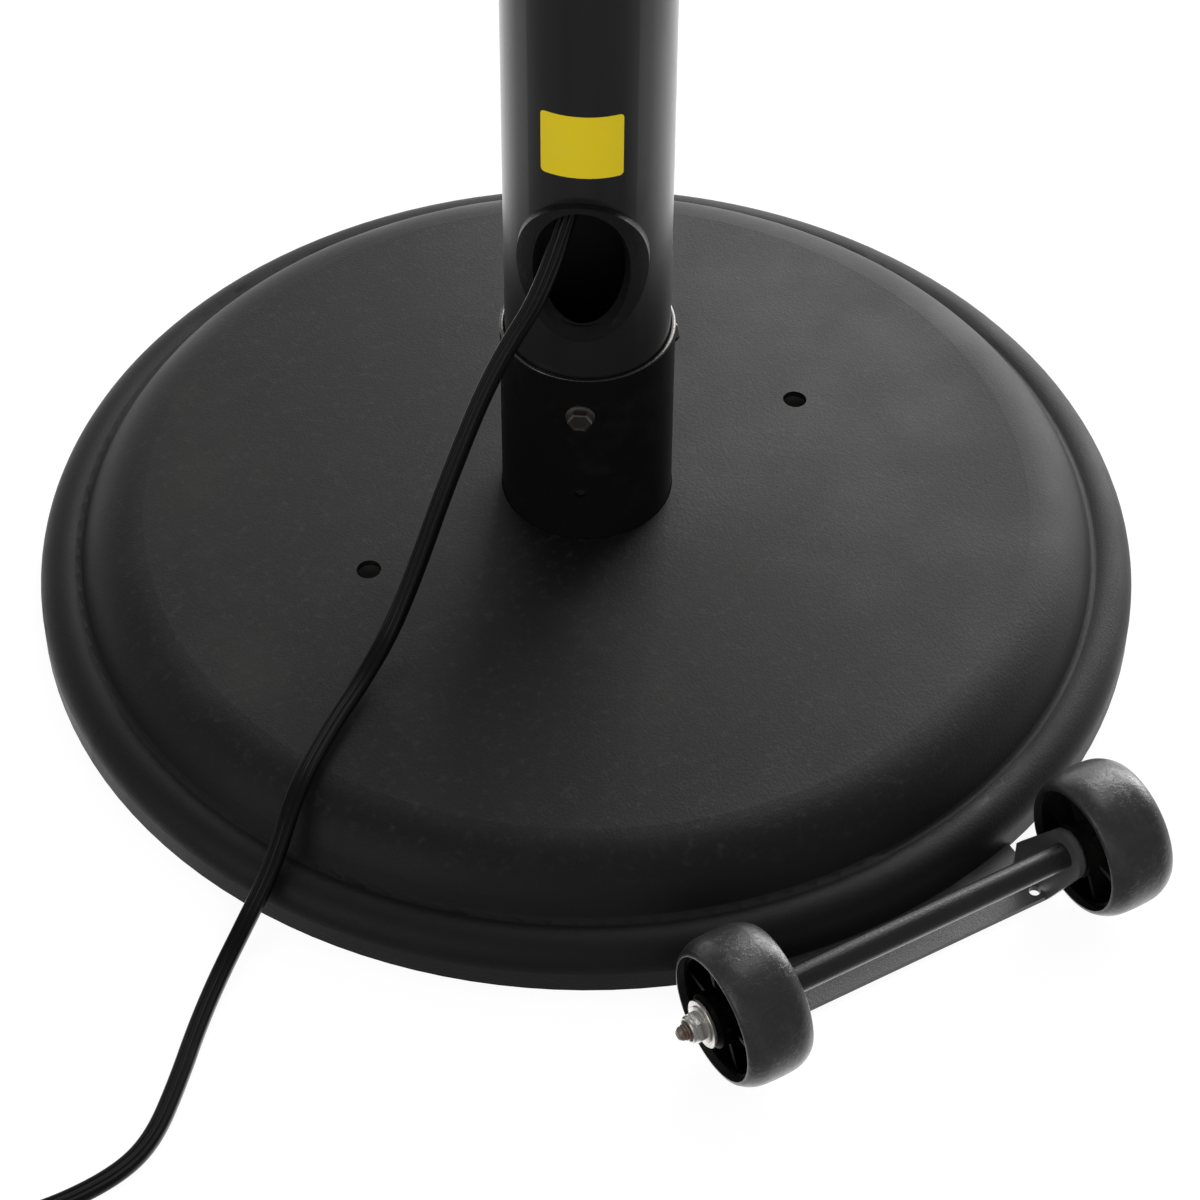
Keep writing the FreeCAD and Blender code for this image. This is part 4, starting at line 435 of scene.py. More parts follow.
@dataclass(frozen=True)
class ScuffedRubber(Finish):
    """Dark grey rubber, mottled with dust and rubbed patches."""

    colour: Colour = (0.019, 0.019, 0.0195)
    dust: Colour = (0.066, 0.064, 0.062)
    dusty: float = 0.32
    film_dulls: float = 0.25
    roughness: float = 0.31
    gloss: float = 0.68
    broad: Patches = Patches(55.0, 5.0, 0.7, low=0.42, high=0.72, share=0.6)
    fine: Patches = Patches(380.0, 4.0, 0.75, low=0.48, high=0.74, share=0.4)
    broad_rise: float = 0.4
    fine_rise: float = 0.6
    relief: Relief = Relief(0.5, 0.0003)
    scratches: Patches = Patches(240.0, 3.0, 0.7, (0.18, 1.0, 1.0), low=0.6, high=0.74, share=0.22)

    def mix(self, sheet: ShaderSheet) -> bpy.types.Material:
        """Dust in broad and fine patches, scratches along the tread.

        Args:
            sheet: The sheet to fill in.

        Returns:
            The material.
        """
        broad = sheet.patches(self.broad)
        fine = sheet.patches(self.fine)
        scratch = sheet.patches(self.scratches)
        film = (broad * self.broad.share + fine * self.fine.share) * self.dusty
        colour = sheet.blend(film, self.colour, self.dust)
        return sheet.surface(
            Base_Color=sheet.blend(scratch * self.scratches.share, colour, self.dust),
            Roughness=self.roughness + film * self.film_dulls,
            Specular_IOR_Level=self.gloss,
            Normal=sheet.bump(fine * self.fine_rise + broad * self.broad_rise, self.relief),
        )


@dataclass(frozen=True)
class PlatedSteel(Finish):
    """Bright zinc plate with dull spots and a little rust."""

    colour: Colour = (0.74, 0.72, 0.68)
    darker: float = 0.62
    roughness: float = 0.3
    dull: Patches = Patches(900.0, low=0.4, high=0.7, share=0.35, dulls=0.12)
    spots: Noise = Noise(240.0, 5.0, 0.7)
    relief: Relief = Relief(0.2, 0.0001)
    rust: Colour = (0.19, 0.095, 0.045)
    rusty: float = 0.25
    clean_low: float = 0.78
    clean_high: float = 0.9
    low_drop: float = 0.5
    high_drop: float = 0.4
    rust_covers: float = 0.85
    rust_dulls: float = 0.35

    def mix(self, sheet: ShaderSheet) -> bpy.types.Material:
        """Rust spreads from fine noise, and dulls what it covers.

        Args:
            sheet: The sheet to fill in.

        Returns:
            The material.
        """
        spots = sheet.noise(self.spots)
        low = self.clean_low - self.low_drop * self.rusty
        high = self.clean_high - self.high_drop * self.rusty
        rust = sheet.band(spots, low, high)
        dull = sheet.patches(self.dull)
        colour = sheet.blend(dull * self.dull.share, self.colour, shaded(self.colour, self.darker))
        return sheet.surface(
            Base_Color=sheet.blend(rust, colour, self.rust),
            Metallic=1.0 - rust * self.rust_covers,
            Roughness=self.roughness + dull * self.dull.dulls + rust * self.rust_dulls,
            Normal=sheet.bump(spots, self.relief),
        )


@dataclass(frozen=True)
class CastConcrete(Finish):
    """Grey cast concrete with pores."""

    colour: Colour = (0.36, 0.35, 0.33)
    darker: float = 0.7
    roughness: float = 0.9
    clouds: Noise = Noise(24.0, 6.0, 0.65)
    cloud_rise: float = 0.5
    pores: float = 170.0
    pore_low: float = 0.08
    pore_high: float = 0.2
    relief: Relief = Relief(0.6, 0.0008)

    def mix(self, sheet: ShaderSheet) -> bpy.types.Material:
        """Pores from cells, tone from noise.

        Args:
            sheet: The sheet to fill in.

        Returns:
            The material.
        """
        tone = sheet.noise(self.clouds)
        pores = sheet.band(sheet.cells(self.pores), self.pore_low, self.pore_high)
        return sheet.surface(
            Base_Color=sheet.blend(tone, self.colour, shaded(self.colour, self.darker)),
            Roughness=self.roughness,
            Normal=sheet.bump(pores + tone * self.cloud_rise, self.relief),
        )


@dataclass(frozen=True)
class PolishedMetal(Finish):
    """Bright metal with fine drawing lines along X."""

    colour: Colour = (0.86, 0.86, 0.87)
    darker: float = 0.8
    roughness: float = 0.16
    lines: Noise = Noise(900.0, 2.0, 0.5, (0.01, 1.0, 1.0))
    lines_dull: float = 0.06
    relief: Relief = Relief(0.12, 0.00005)
    haze: Patches = Patches(20.0, 4.0, low=0.35, high=0.75, share=0.3, dulls=0.08)

    def mix(self, sheet: ShaderSheet) -> bpy.types.Material:
        """Lines stretched along X vary the roughness and the normal.

        Args:
            sheet: The sheet to fill in.

        Returns:
            The material.
        """
        lines = sheet.noise(self.lines)
        haze = sheet.patches(self.haze)
        dim = shaded(self.colour, self.darker)
        return sheet.surface(
            Base_Color=sheet.blend(haze * self.haze.share, self.colour, dim),
            Metallic=1.0,
            Roughness=self.roughness + haze * self.haze.dulls + lines * self.lines_dull,
            Normal=sheet.bump(lines, self.relief),
        )


@dataclass(frozen=True)
class ClearQuartz(Finish):
    """The lamp's clear tube, with a faint haze."""

    colour: Colour = (0.97, 0.96, 0.94)
    hazy: Colour = (0.9, 0.87, 0.82)
    roughness: float = 0.04
    haze: Patches = Patches(60.0, 3.0, low=0.4, high=0.8, share=0.2, dulls=0.08)
    bending: float = 1.458

    def mix(self, sheet: ShaderSheet) -> bpy.types.Material:
        """Haze varies the roughness of a clear glass.

        Args:
            sheet: The sheet to fill in.

        Returns:
            The material.
        """
        haze = sheet.patches(self.haze)
        return sheet.surface(
            Base_Color=sheet.blend(haze * self.haze.share, self.colour, self.hazy),
            Roughness=self.roughness + haze * self.haze.dulls,
            IOR=self.bending,
            Transmission_Weight=1.0,
        )


@dataclass(frozen=True)
class FiredCeramic(Finish):
    """Unglazed ceramic with fine specks."""

    colour: Colour = (0.72, 0.69, 0.63)
    speck: Colour = (0.42, 0.38, 0.33)
    darker: float = 0.85
    roughness: float = 0.7
    specks: Patches = Patches(700.0, 3.0, 0.7, low=0.62, high=0.75, share=0.5)
    clouds: Noise = Noise(60.0, 4.0)
    cloud_share: float = 0.3
    cloud_dulls: float = 0.1
    relief: Relief = Relief(0.2, 0.0001)

    def mix(self, sheet: ShaderSheet) -> bpy.types.Material:
        """Specks from fine noise, tone from broad noise.

        Args:
            sheet: The sheet to fill in.

        Returns:
            The material.
        """
        specks = sheet.patches(self.specks)
        tone = sheet.noise(self.clouds)
        colour = sheet.blend(tone * self.cloud_share, self.colour, shaded(self.colour, self.darker))
        return sheet.surface(
            Base_Color=sheet.blend(specks * self.specks.share, colour, self.speck),
            Roughness=self.roughness + tone * self.cloud_dulls,
            Normal=sheet.bump(specks, self.relief),
        )


@dataclass(frozen=True)
class CordJacket(Finish):
    """Flexible jacket of a cord: dull black with a soft sheen and handling dust."""

    colour: Colour = (0.0028, 0.0028, 0.0028)
    dust: Colour = (0.030, 0.029, 0.027)
    roughness: float = 0.28
    gloss: float = 0.22
    rubs: Patches = Patches(70.0, 4.0, 0.6, low=0.45, high=0.75, dulls=0.12)
    specks: Patches = Patches(520.0, 3.0, 0.7, low=0.55, high=0.78, share=0.12, dulls=0.08)
    relief: Relief = Relief(0.15, 0.0001)

    def mix(self, sheet: ShaderSheet) -> bpy.types.Material:
        """Dust and rubbing from noise.

        Args:
            sheet: The sheet to fill in.

        Returns:
            The material.
        """
        rub = sheet.patches(self.rubs)
        dust = sheet.patches(self.specks)
        return sheet.surface(
            Base_Color=sheet.blend(dust * self.specks.share, self.colour, self.dust),
            Roughness=self.roughness + rub * self.rubs.dulls + dust * self.specks.dulls,
            Specular_IOR_Level=self.gloss,
            Normal=sheet.bump(dust, self.relief),
        )


@dataclass(frozen=True)
class BlankLabel(Finish):
    """A plain printed film with nothing on it, rubbed at its face."""

    colour: Colour = (0.98, 0.75, 0.015)
    rubbed: Colour = (0.95, 0.76, 0.06)
    roughness: float = 0.38
    rubs: Patches = Patches(120.0, 5.0, 0.7, low=0.5, high=0.8, share=0.4, dulls=0.2)
    relief: Relief = Relief(0.1, 0.0001)

    def mix(self, sheet: ShaderSheet) -> bpy.types.Material:
        """Rubbing pales the film and dulls it.

        Args:
            sheet: The sheet to fill in.

        Returns:
            The material.
        """
        rub = sheet.patches(self.rubs)
        return sheet.surface(
            Base_Color=sheet.blend(rub * self.rubs.share, self.colour, self.rubbed),
            Roughness=self.roughness + rub * self.rubs.dulls,
            Normal=sheet.bump(rub, self.relief),
        )


@dataclass(frozen=True)
class StudioFloor(Finish):
    """The pale floor of the studio, lit a little from within."""

    colour: Colour = (0.2, 0.2, 0.2)
    worn: Colour = (0.19, 0.19, 0.19)
    wear: Noise = Noise(1.5, 2.0)
    wear_share: float = 0.05
    roughness: float = 0.9
    gloss: float = 0.1
    glow: float = 0.9

    def mix(self, sheet: ShaderSheet) -> bpy.types.Material:
        """A nearly even white with the faintest variation.

        Args:
            sheet: The sheet to fill in.

        Returns:
            The material.
        """
        wear = sheet.noise(self.wear)
        return sheet.surface(
            Base_Color=sheet.blend(wear * self.wear_share, self.colour, self.worn),
            Roughness=self.roughness,
            Specular_IOR_Level=self.gloss,
            Emission_Color=WHITE,
            Emission_Strength=self.glow,
        )


COVER = MouldedPlastic("cover_plastic", dusty=0.4)
PLASTIC = MouldedPlastic("black_plastic", grain=900.0, relief=Relief(0.5, 0.00012), roughness=0.45)
# The hub's plastic is a darker copy of the black plastic: painted shade for the hub's recess.
SHADED_HUB = MouldedPlastic(
    "hub_plastic", colour=(0.001, 0.001, 0.001), grain=800.0, roughness=0.45, gloss=0.05
)
NYLON = MouldedPlastic(
    "nut_nylon", colour=(0.012, 0.02, 0.034), grain=900.0, roughness=0.4, gloss=0.4
)
POWDER = PowderCoat("powder_coat")
SLEEVE = PowderCoat("sleeve_coat", roughness=0.32, pebbles=Noise(800.0, 2.0, 0.5), gloss=0.7)
# The bracket's coat is paler than the other powder coat: a painted sheen for the plate's bright
# reflection.
SHEEN_BRACKET = PowderCoat("bracket_sheen_coat", colour=(0.062, 0.062, 0.064), roughness=0.4, gloss=0.7)
POLE = SatinPaint("pole_paint")
HEAD_PAINT = SatinPaint("head_paint", roughness=0.4)
PLATED = PlatedSteel("plated_steel")
DULL = PlatedSteel("dull_steel", colour=(0.26, 0.255, 0.245), rusty=0.12, roughness=0.42)
BLACK_BOLT = PlatedSteel("black_bolts", colour=(0.20, 0.184, 0.168), rusty=0.32, roughness=0.42)
ROD = PlatedSteel(
    "rusty_rod", colour=(0.34, 0.29, 0.25), rust=(0.12, 0.068, 0.045), rusty=0.7, roughness=0.4
)
BARE_EDGE = PlatedSteel("bare_edge", colour=(0.17, 0.166, 0.16), rusty=0.05, roughness=0.26)
CONCRETE = CastConcrete("cast_concrete")
TYRE = ScuffedRubber("tyre_rubber")
GROMMET = ScuffedRubber("grommet_rubber", colour=(0.011, 0.011, 0.011), dusty=0.05, gloss=0.16)
ALUMINIUM = PolishedMetal("polished_aluminium", colour=(0.46, 0.46, 0.468), roughness=0.26)
CHROME = PolishedMetal("guard_chrome", colour=(0.36, 0.36, 0.368), roughness=0.14)
BRASS = PolishedMetal("pin_brass", colour=(0.72, 0.56, 0.28), roughness=0.24)
QUARTZ = ClearQuartz("quartz")
CERAMIC = FiredCeramic("holder_ceramic")
CARBON = FiredCeramic("carbon_ribbon", colour=(0.03, 0.028, 0.026), speck=(0.07, 0.06, 0.05))
JACKET = CordJacket("cord_jacket")
LABEL = BlankLabel("blank_label")
FLOOR = StudioFloor("studio_floor")


def cad(*names: str) -> list[bpy.types.Object]:
    """Return CAD nodes by name."""
    return [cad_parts[name] for name in names]


def new_piece(name: str, mesh: bpy.types.Mesh, body: Body, finish: Finish) -> bpy.types.Object:
    """Link a mesh as a piece.

    Args:
        name: The piece's name.
        mesh: Its mesh, in metres in the row's frame.
        body: The body that it rides on.
        finish: The finish that it gets.

    Returns:
        The piece.
    """
    piece = bpy.data.objects.new(name, mesh)
    bpy.context.scene.collection.objects.link(piece)
    finish.dress([piece])
    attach(piece, body.value)
    log.info("%s rides on %s", name, body.value)
    return piece


def mesh_from(work: bmesh.types.BMesh, name: str, smooth_below: float = 35.0) -> bpy.types.Mesh:
    """Close a bmesh into a mesh with smooth faces and sharp edges.

    Args:
        work: The bmesh, which is freed.
        name: The mesh's name.
        smooth_below: The angle in degrees from which an edge is sharp.

    Returns:
        The mesh.
    """
    bmesh.ops.remove_doubles(work, verts=work.verts, dist=MERGE)
    bmesh.ops.recalc_face_normals(work, faces=work.faces)
    limit = math.radians(smooth_below)
    for face in work.faces:
        face.smooth = True
    for edge in work.edges:
        edge.smooth = len(edge.link_faces) != 2 or edge.calc_face_angle(0.0) < limit
    mesh = bpy.data.meshes.new(name)
    work.to_mesh(mesh)
    work.free()
    return mesh


def smooth_step(share: float) -> float:
    """Ease a share from 0 to 1."""
    held = min(max(share, 0.0), 1.0)
    return held * held * (3 - 2 * held)


def metres(profile: Profile, start: float = 0.0) -> list[tuple[float, float]]:
    """A profile of millimetres in metres, moved along its axis."""
    return [((along + start) * MM, radius * MM) for along, radius in profile]


def lathe(
    work: bmesh.types.BMesh,
    centre: Vector,
    axis: Axis,
    profile: Profile,
    closed: bool = False,
    steps: int = 64,
) -> None:
    """Spin a profile all the way round an axis.

    Args:
        work: The bmesh that gets the shape.
        centre: A point of the axis, from which the profile is measured.
        axis: The direction of the axis.
        profile: Pairs of a place along the axis and a radius, in metres.
        closed: Whether the last point joins the first, as in a ring.
        steps: How many facets go round.
    """
    ahead = Vector(axis.value)
    out = Vector(Axis.Z.value if axis is Axis.X else Axis.X.value)
    points = [work.verts.new(centre + ahead * along + out * radius) for along, radius in profile]
    pairs = list(zip(points, points[1:]))
    if closed:
        pairs.append((points[-1], points[0]))
    lines = [work.edges.new(pair) for pair in pairs]
    bmesh.ops.spin(
        work,
        geom=points + lines,
        cent=centre,
        axis=ahead,
        angle=TURN,
        steps=steps,
        use_merge=True,
    )
    bmesh.ops.remove_doubles(work, verts=work.verts, dist=MERGE)


def hexagon(
    work: bmesh.types.BMesh,
    centre: Vector,
    low: float,
    high: float,
    flats: float,
    ease: float,
) -> None:
    """Add a hexagonal prism along X whose edges are eased.

    Args:
        work: The bmesh that gets the shape.
        centre: A point of its axis, from which its ends are measured.
        low: Its start along X.
        high: Its end along X.
        flats: Its width across flats.
        ease: The width of the eased edges.
    """
    middle = centre + Vector(((low + high) / 2, 0.0, 0.0))
    place = Matrix.Translation(middle) @ Matrix.Rotation(math.pi / 2, 4, "Y")
    radius = flats / math.sqrt(3)
    made = bmesh.ops.create_cone(
        work,
        cap_ends=True,
        cap_tris=False,
        segments=6,
        radius1=radius,
        radius2=radius,
        depth=high - low,
        matrix=place,
    )
    edges = {edge for vertex in made["verts"] for edge in vertex.link_edges}
    bmesh.ops.bevel(
        work,
        geom=list(edges),
        offset=ease,
        affect="EDGES",
        segments=3,
        profile=0.5,
        material=-1,
    )


def smooth_curve(
    name: str,
    points: Sequence[Sequence[float]],
    ring: bool,
    steps: int,
) -> bpy.types.Object:
    """Make a curve object of one quadratic spline.

    Args:
        name: The object's name.
        points: The spline's control points.
        ring: Whether it is a flat closed outline, and not an open line in space.
        steps: How many segments go to each control point.

    Returns:
        The curve object.
    """
    data = bpy.data.curves.new(name, "CURVE")
    data.dimensions = "2D" if ring else "3D"
    data.resolution_u = steps
    spline = data.splines.new("NURBS")
    spline.points.add(len(points) - 1)
    for point, place in zip(spline.points, points):
        point.co = (*place, 1.0)
    spline.order_u = QUADRATIC
    spline.use_cyclic_u = ring
    spline.use_endpoint_u = not ring
    curve = bpy.data.objects.new(name, data)
    bpy.context.scene.collection.objects.link(curve)
    return curve


@dataclass
class PhotoCamera:
    """The camera that took the photograph, worked out from the object's circles."""

    place: Point = (0.62037, 1.06836, 1.25211)
    right: Point = (-0.86490, 0.50192, 0.00550)
    up: Point = (-0.35766, -0.62392, 0.69484)
    ahead: Point = (-0.35219, -0.59900, -0.71914)
    lens: float = 107.855
    sensor: float = 36.0
    sight: float = 50.0

    def build(self) -> None:
        """Make the camera and set it as the scene's."""
        data = bpy.data.cameras.new("photo_camera")
        data.lens = self.lens
        data.sensor_width = self.sensor
        data.clip_end = self.sight
        camera = bpy.data.objects.new("photo_camera", data)
        columns = (Vector(self.right), Vector(self.up), -Vector(self.ahead))
        turn = Matrix([[axis[k] for axis in columns] for k in range(3)]).to_quaternion()
        camera.matrix_world = Matrix.LocRotScale(Vector(self.place), turn, None)
        bpy.context.scene.collection.objects.link(camera)
        bpy.context.scene.camera = camera


@dataclass(frozen=True)
class Softbox:
    """A square soft lamp that faces a target, seen in gloss only if it is mirrored."""

    name: str
    place: Point
    target: Point
    size: float
    power: float
    mirrored: bool = True

    def hang(self) -> None:
        """Add the lamp to the scene, out of the camera's sight."""
        data = bpy.data.lights.new(self.name, "AREA")
        data.size = self.size
        data.energy = self.power
        lamp = bpy.data.objects.new(self.name, data)
        lamp.location = self.place
        lamp.visible_camera = False
        lamp.visible_glossy = self.mirrored
        ahead = Vector(self.target) - Vector(self.place)
        lamp.rotation_mode = "QUATERNION"
        lamp.rotation_quaternion = ahead.to_track_quat("-Z", "Y")
        bpy.context.scene.collection.objects.link(lamp)


@dataclass
class Studio:
    """Pale floor and soft light, brightest behind the heater and dim in front of it."""

    floor_half: float = 9.0
    bright_side: Point = (-0.510, -0.620, -0.596)
    bright: float = 1.75
    dim: float = 0.22
    fade_low: float = -0.05
    fade_high: float = 1.0
    lamps: Sequence[Softbox] = (
        Softbox("back_softbox", (-2.18, -1.70, 1.60), (0.0, 0.0, 0.05), 1.8, 58.0),
        Softbox("overhead_softbox", (-0.55, -0.75, 2.9), (0.0, 0.2, 0.0), 1.4, 10.0),
        Softbox("side_softbox", (3.04, 0.52, 1.44), (0.0, 0.0, 0.25), 2.0, 14.0),
        Softbox("rim_softbox", (-2.66, -0.86, 0.55), (0.0, 0.0, 0.05), 1.0, 26.0),
        Softbox("front_fill", (1.1, 2.2, 1.3), (0.0, 0.0, 0.2), 1.5, 25.0, mirrored=False),
    )

    def build(self) -> None:
        """Lay the floor and hang the lights."""
        work = bmesh.new()
        bmesh.ops.create_grid(work, x_segments=2, y_segments=2, size=self.floor_half)
        floor = bpy.data.objects.new("studio_floor", mesh_from(work, "studio_floor"))
        bpy.context.scene.collection.objects.link(floor)
        FLOOR.dress([floor])
        floor.visible_diffuse = False
        floor.visible_glossy = False
        self.wrap()
        bpy.context.scene.view_settings.view_transform = "Standard"
        for lamp in self.lamps:
            lamp.hang()

    def wrap(self) -> None:
        """Put a white backdrop round the scene, whose light fades from a bright side to a dim one."""
        world = bpy.data.worlds.new("studio_world")
        world.use_nodes = True
        sheet = NodeSheet(world.node_tree)
        way = sheet.node("ShaderNodeTexCoord", {}, {}, "Generated")
        facing = sheet.node(
            "ShaderNodeVectorMath",
            {"operation": "DOT_PRODUCT"},
            {0: way, 1: self.bright_side},
            "Value",
        )
        glow = sheet.band(facing, self.fade_low, self.fade_high, self.dim, self.bright)
        seen = sheet.node("ShaderNodeLightPath", {}, {}, "Is Camera Ray")
        strength = glow + seen * (1.0 - glow)
        light = sheet.node("ShaderNodeBackground", {}, {"Color": WHITE, "Strength": strength})
        sheet.node("ShaderNodeOutputWorld", {}, {"Surface": light}, None)
        bpy.context.scene.world = world


@dataclass
class MainsCord:
    """The flat three-core cord, from inside the pole over the base to its coil and plug.

    The section's width and thickness are in metres, and the route, the coil and the band in
    millimetres.
    """

    width: float = 8.6 * MM
    thickness: float = 5.2 * MM
    lobes: Profile = (
        (0.98, 0.0),
        (0.95, 0.72),
        (0.7, 1.04),
        (0.47, 0.98),
        (0.34, 0.73327),
        (0.2, 1.0),
        (0.0, 1.03),
    )
    line_steps: int = 10
    lobe_steps: int = 2
    smooth_below: float = 60.0
    rim_x: float = BASE_R * math.cos(CORD_AZIMUTH)
    rim_y: float = BASE_R * math.sin(CORD_AZIMUTH)
    coil_x: float = 208.0
    coil_y: float = 150.2
    coil_in_r: float = 37.1
    coil_pitch: float = 9.3
    coil_turns: float = 4.5
    coil_start: float = 0.25
    turn_back: float = 0.25
    coil_low: float = 2.8
    coil_rise: float = 5.4
    plug_rise: float = 6.7
    plug_climb: float = 0.5
    coil_lead: float = 28.4
    coil_ease: float = 8.6
    plug_lead: float = 26.0
    per_turn: int = 16
    tie_turn: float = 0.75
    tie_gap: float = 0.5
    tie_thick: float = 0.9
    tie_width: float = 9.0
    tie_corner: float = 3.2
    hang: Sequence[Point] = (
        (10.0, 14.0, 270.0),
        (35.0, 30.5, 222.0),
        (68.5, 35.5, 187.0),
        (97.0, 43.6, 139.0),
        (117.0, 49.5, 99.0),
        (133.0, 54.0, 72.0),
        (153.0, 63.5, 58.6),
    )
    over_rim: Sequence[Point] = (
        (-53.0, -40.3, 56.2),
        (-26.0, -18.3, 54.0),
        (-4.7, -1.2, 31.5),
        (15.7, 7.9, 11.8),
        (35.5, 22.1, 4.2),
        (55.1, 41.2, 2.8),
        (75.8, 64.5, 2.8),
        (96.1, 84.7, 2.8),
        (115.1, 93.8, 2.8),
        (143.1, 96.0, 2.8),
    )

    def coil_radius(self, turn: float) -> float:
        """The spiral's radius, which shrinks to the middle of the coil and grows again.

        Args:
            turn: How many turns the cord has made.

        Returns:
            The radius in millimetres.
        """
        away = abs(turn - self.coil_turns / 2)
        ease = self.turn_back
        smooth = away if away > ease else (away ** 2 + ease ** 2) / (2 * ease)
        return self.coil_in_r + self.coil_pitch * smooth

    def coil_point(self, turn: float, spread: float) -> Vector:
        """A point of the coil, whose second layer lies on the first.

        Args:
            turn: How many turns the cord has made.
            spread: A factor on the radius.

        Returns:
            The point in millimetres.
        """
        climb = smooth_step((turn - self.coil_turns / 2 + self.turn_back) / (2 * self.turn_back))
        lift = smooth_step((turn - self.coil_turns + self.plug_climb) / self.plug_climb)
        height = self.coil_low + self.coil_rise * climb + self.plug_rise * lift
        angle = TURN * (turn - self.coil_start)
        radius = self.coil_radius(turn) * spread
        middle = Vector((self.rim_x + self.coil_x, self.rim_y + self.coil_y, height))
        return middle + Vector((radius * math.cos(angle), radius * math.sin(angle), 0.0))

    def route(self) -> list[Vector]:
        """Lay the cord from the pole to the plug.

        Returns:
            The control points in metres.
        """
        rim = Vector((self.rim_x, self.rim_y, 0.0))
        points = [Vector(point) for point in self.hang]
        points += [rim + Vector(point) for point in self.over_rim]
        count = round(self.coil_turns * self.per_turn)
        # A quadratic spline runs inside its control points, so they are spread.
        spread = 1.0 / (0.75 + 0.25 * math.cos(TURN / self.per_turn))
        start = self.coil_point(0.0, 1.0)
        leads = (self.coil_lead + self.coil_ease, self.coil_ease)
        points += [start - Vector((reach, 0.0, 0.0)) for reach in leads]
        points += [self.coil_point((k + 0.5) / self.per_turn, spread) for k in range(count)]
        end = self.coil_point(self.coil_turns, 1.0)
        leads = (self.plug_lead / 2, self.plug_lead)
        points += [end - Vector((reach, 0.0, 0.0)) for reach in leads]
        return [point * MM for point in points]

    def line(self) -> bpy.types.Object:
        """Draw the route.

        Returns:
            The curve object, with no thickness yet.
        """
        curve = smooth_curve("cord_line", self.route(), False, self.line_steps)
        curve.data.twist_mode = "Z_UP"
        return curve

    def section(self) -> bpy.types.Object:
        """Draw the cross-section, three lobes side by side, from a quarter of it.

        Returns:
            The curve object.
        """
        quarter = [(x * self.width / 2, y * self.thickness / 2) for x, y in self.lobes]
        (side, _), *inner, (_, top) = quarter
        outline = quarter + [(-x, y) for x, y in reversed(inner)]
        outline += [(-side, 0.0)] + [(-x, -y) for x, y in inner]
        outline += [(0.0, -top)] + [(x, -y) for x, y in reversed(inner)]
        section = smooth_curve("cord_section", [(x, y, 0.0) for x, y in outline], True, self.lobe_steps)
        section.data.fill_mode = "NONE"
        return section

    def tie(self) -> bpy.types.Object:
        """Wrap a band round the coil's turns, on the side away from the climb.

        Returns:
            The band's piece.
        """
        outer, inner = self.coil_radius(self.tie_turn), self.coil_radius(self.tie_turn + 1)
        across = outer - inner + self.width / MM + 2 * self.tie_gap
        high = self.coil_low + self.coil_rise + self.thickness / MM / 2 + self.tie_gap
        middle = self.rim_x + self.coil_x - (outer + inner) / 2
        near = self.rim_y + self.coil_y - self.tie_width / 2
        work = bmesh.new()
        place = Vector((middle, near, (high + self.tie_thick) / 2)) * MM
        turn = Matrix.Rotation(math.pi / 2, 4, "X")
        stretch = Matrix.Diagonal((across / 2 * MM, (high - self.tie_thick) / 2 * MM, 1.0, 1.0))
        bmesh.ops.create_grid(work, size=1.0, matrix=Matrix.Translation(place) @ turn @ stretch)
        bmesh.ops.delete(work, geom=work.faces[:], context="FACES_ONLY")
        bmesh.ops.bevel(
            work,
            geom=work.verts[:],
            offset=self.tie_corner * MM,
            affect="VERTICES",
            segments=6,
            profile=0.5,
            material=-1,
        )
        made = bmesh.ops.extrude_edge_only(work, edges=work.edges[:])["geom"]
        moved = [item for item in made if isinstance(item, bmesh.types.BMVert)]
        bmesh.ops.translate(work, verts=moved, vec=(0.0, self.tie_width * MM, 0.0))
        bmesh.ops.recalc_face_normals(work, faces=work.faces)
        bmesh.ops.solidify(work, geom=work.faces[:], thickness=self.tie_thick * MM)
        piece = new_piece("cord_band", mesh_from(work, "cord_band"), Body.STAND, PLASTIC)
        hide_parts("cord_tie")
        return piece

    def build(self) -> None:
        curve, section = self.line(), self.section()
        graph = bpy.context.evaluated_depsgraph_get()
        bare = bpy.data.meshes.new_from_object(curve.evaluated_get(graph))
        curve.data.bevel_mode = "OBJECT"
        curve.data.bevel_object = section
        curve.data.use_fill_caps = True
        graph = bpy.context.evaluated_depsgraph_get()
        swept = bpy.data.meshes.new_from_object(curve.evaluated_get(graph))
        for spare in (curve, section):
            bpy.data.objects.remove(spare)
        work = bmesh.new()
        work.from_mesh(swept)
        mesh = mesh_from(work, "flat_cord", self.smooth_below)
        piece = new_piece("flat_cord", mesh, Body.STAND, JACKET)
        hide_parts("mains_cord", "cord_coil")
        self.tie()


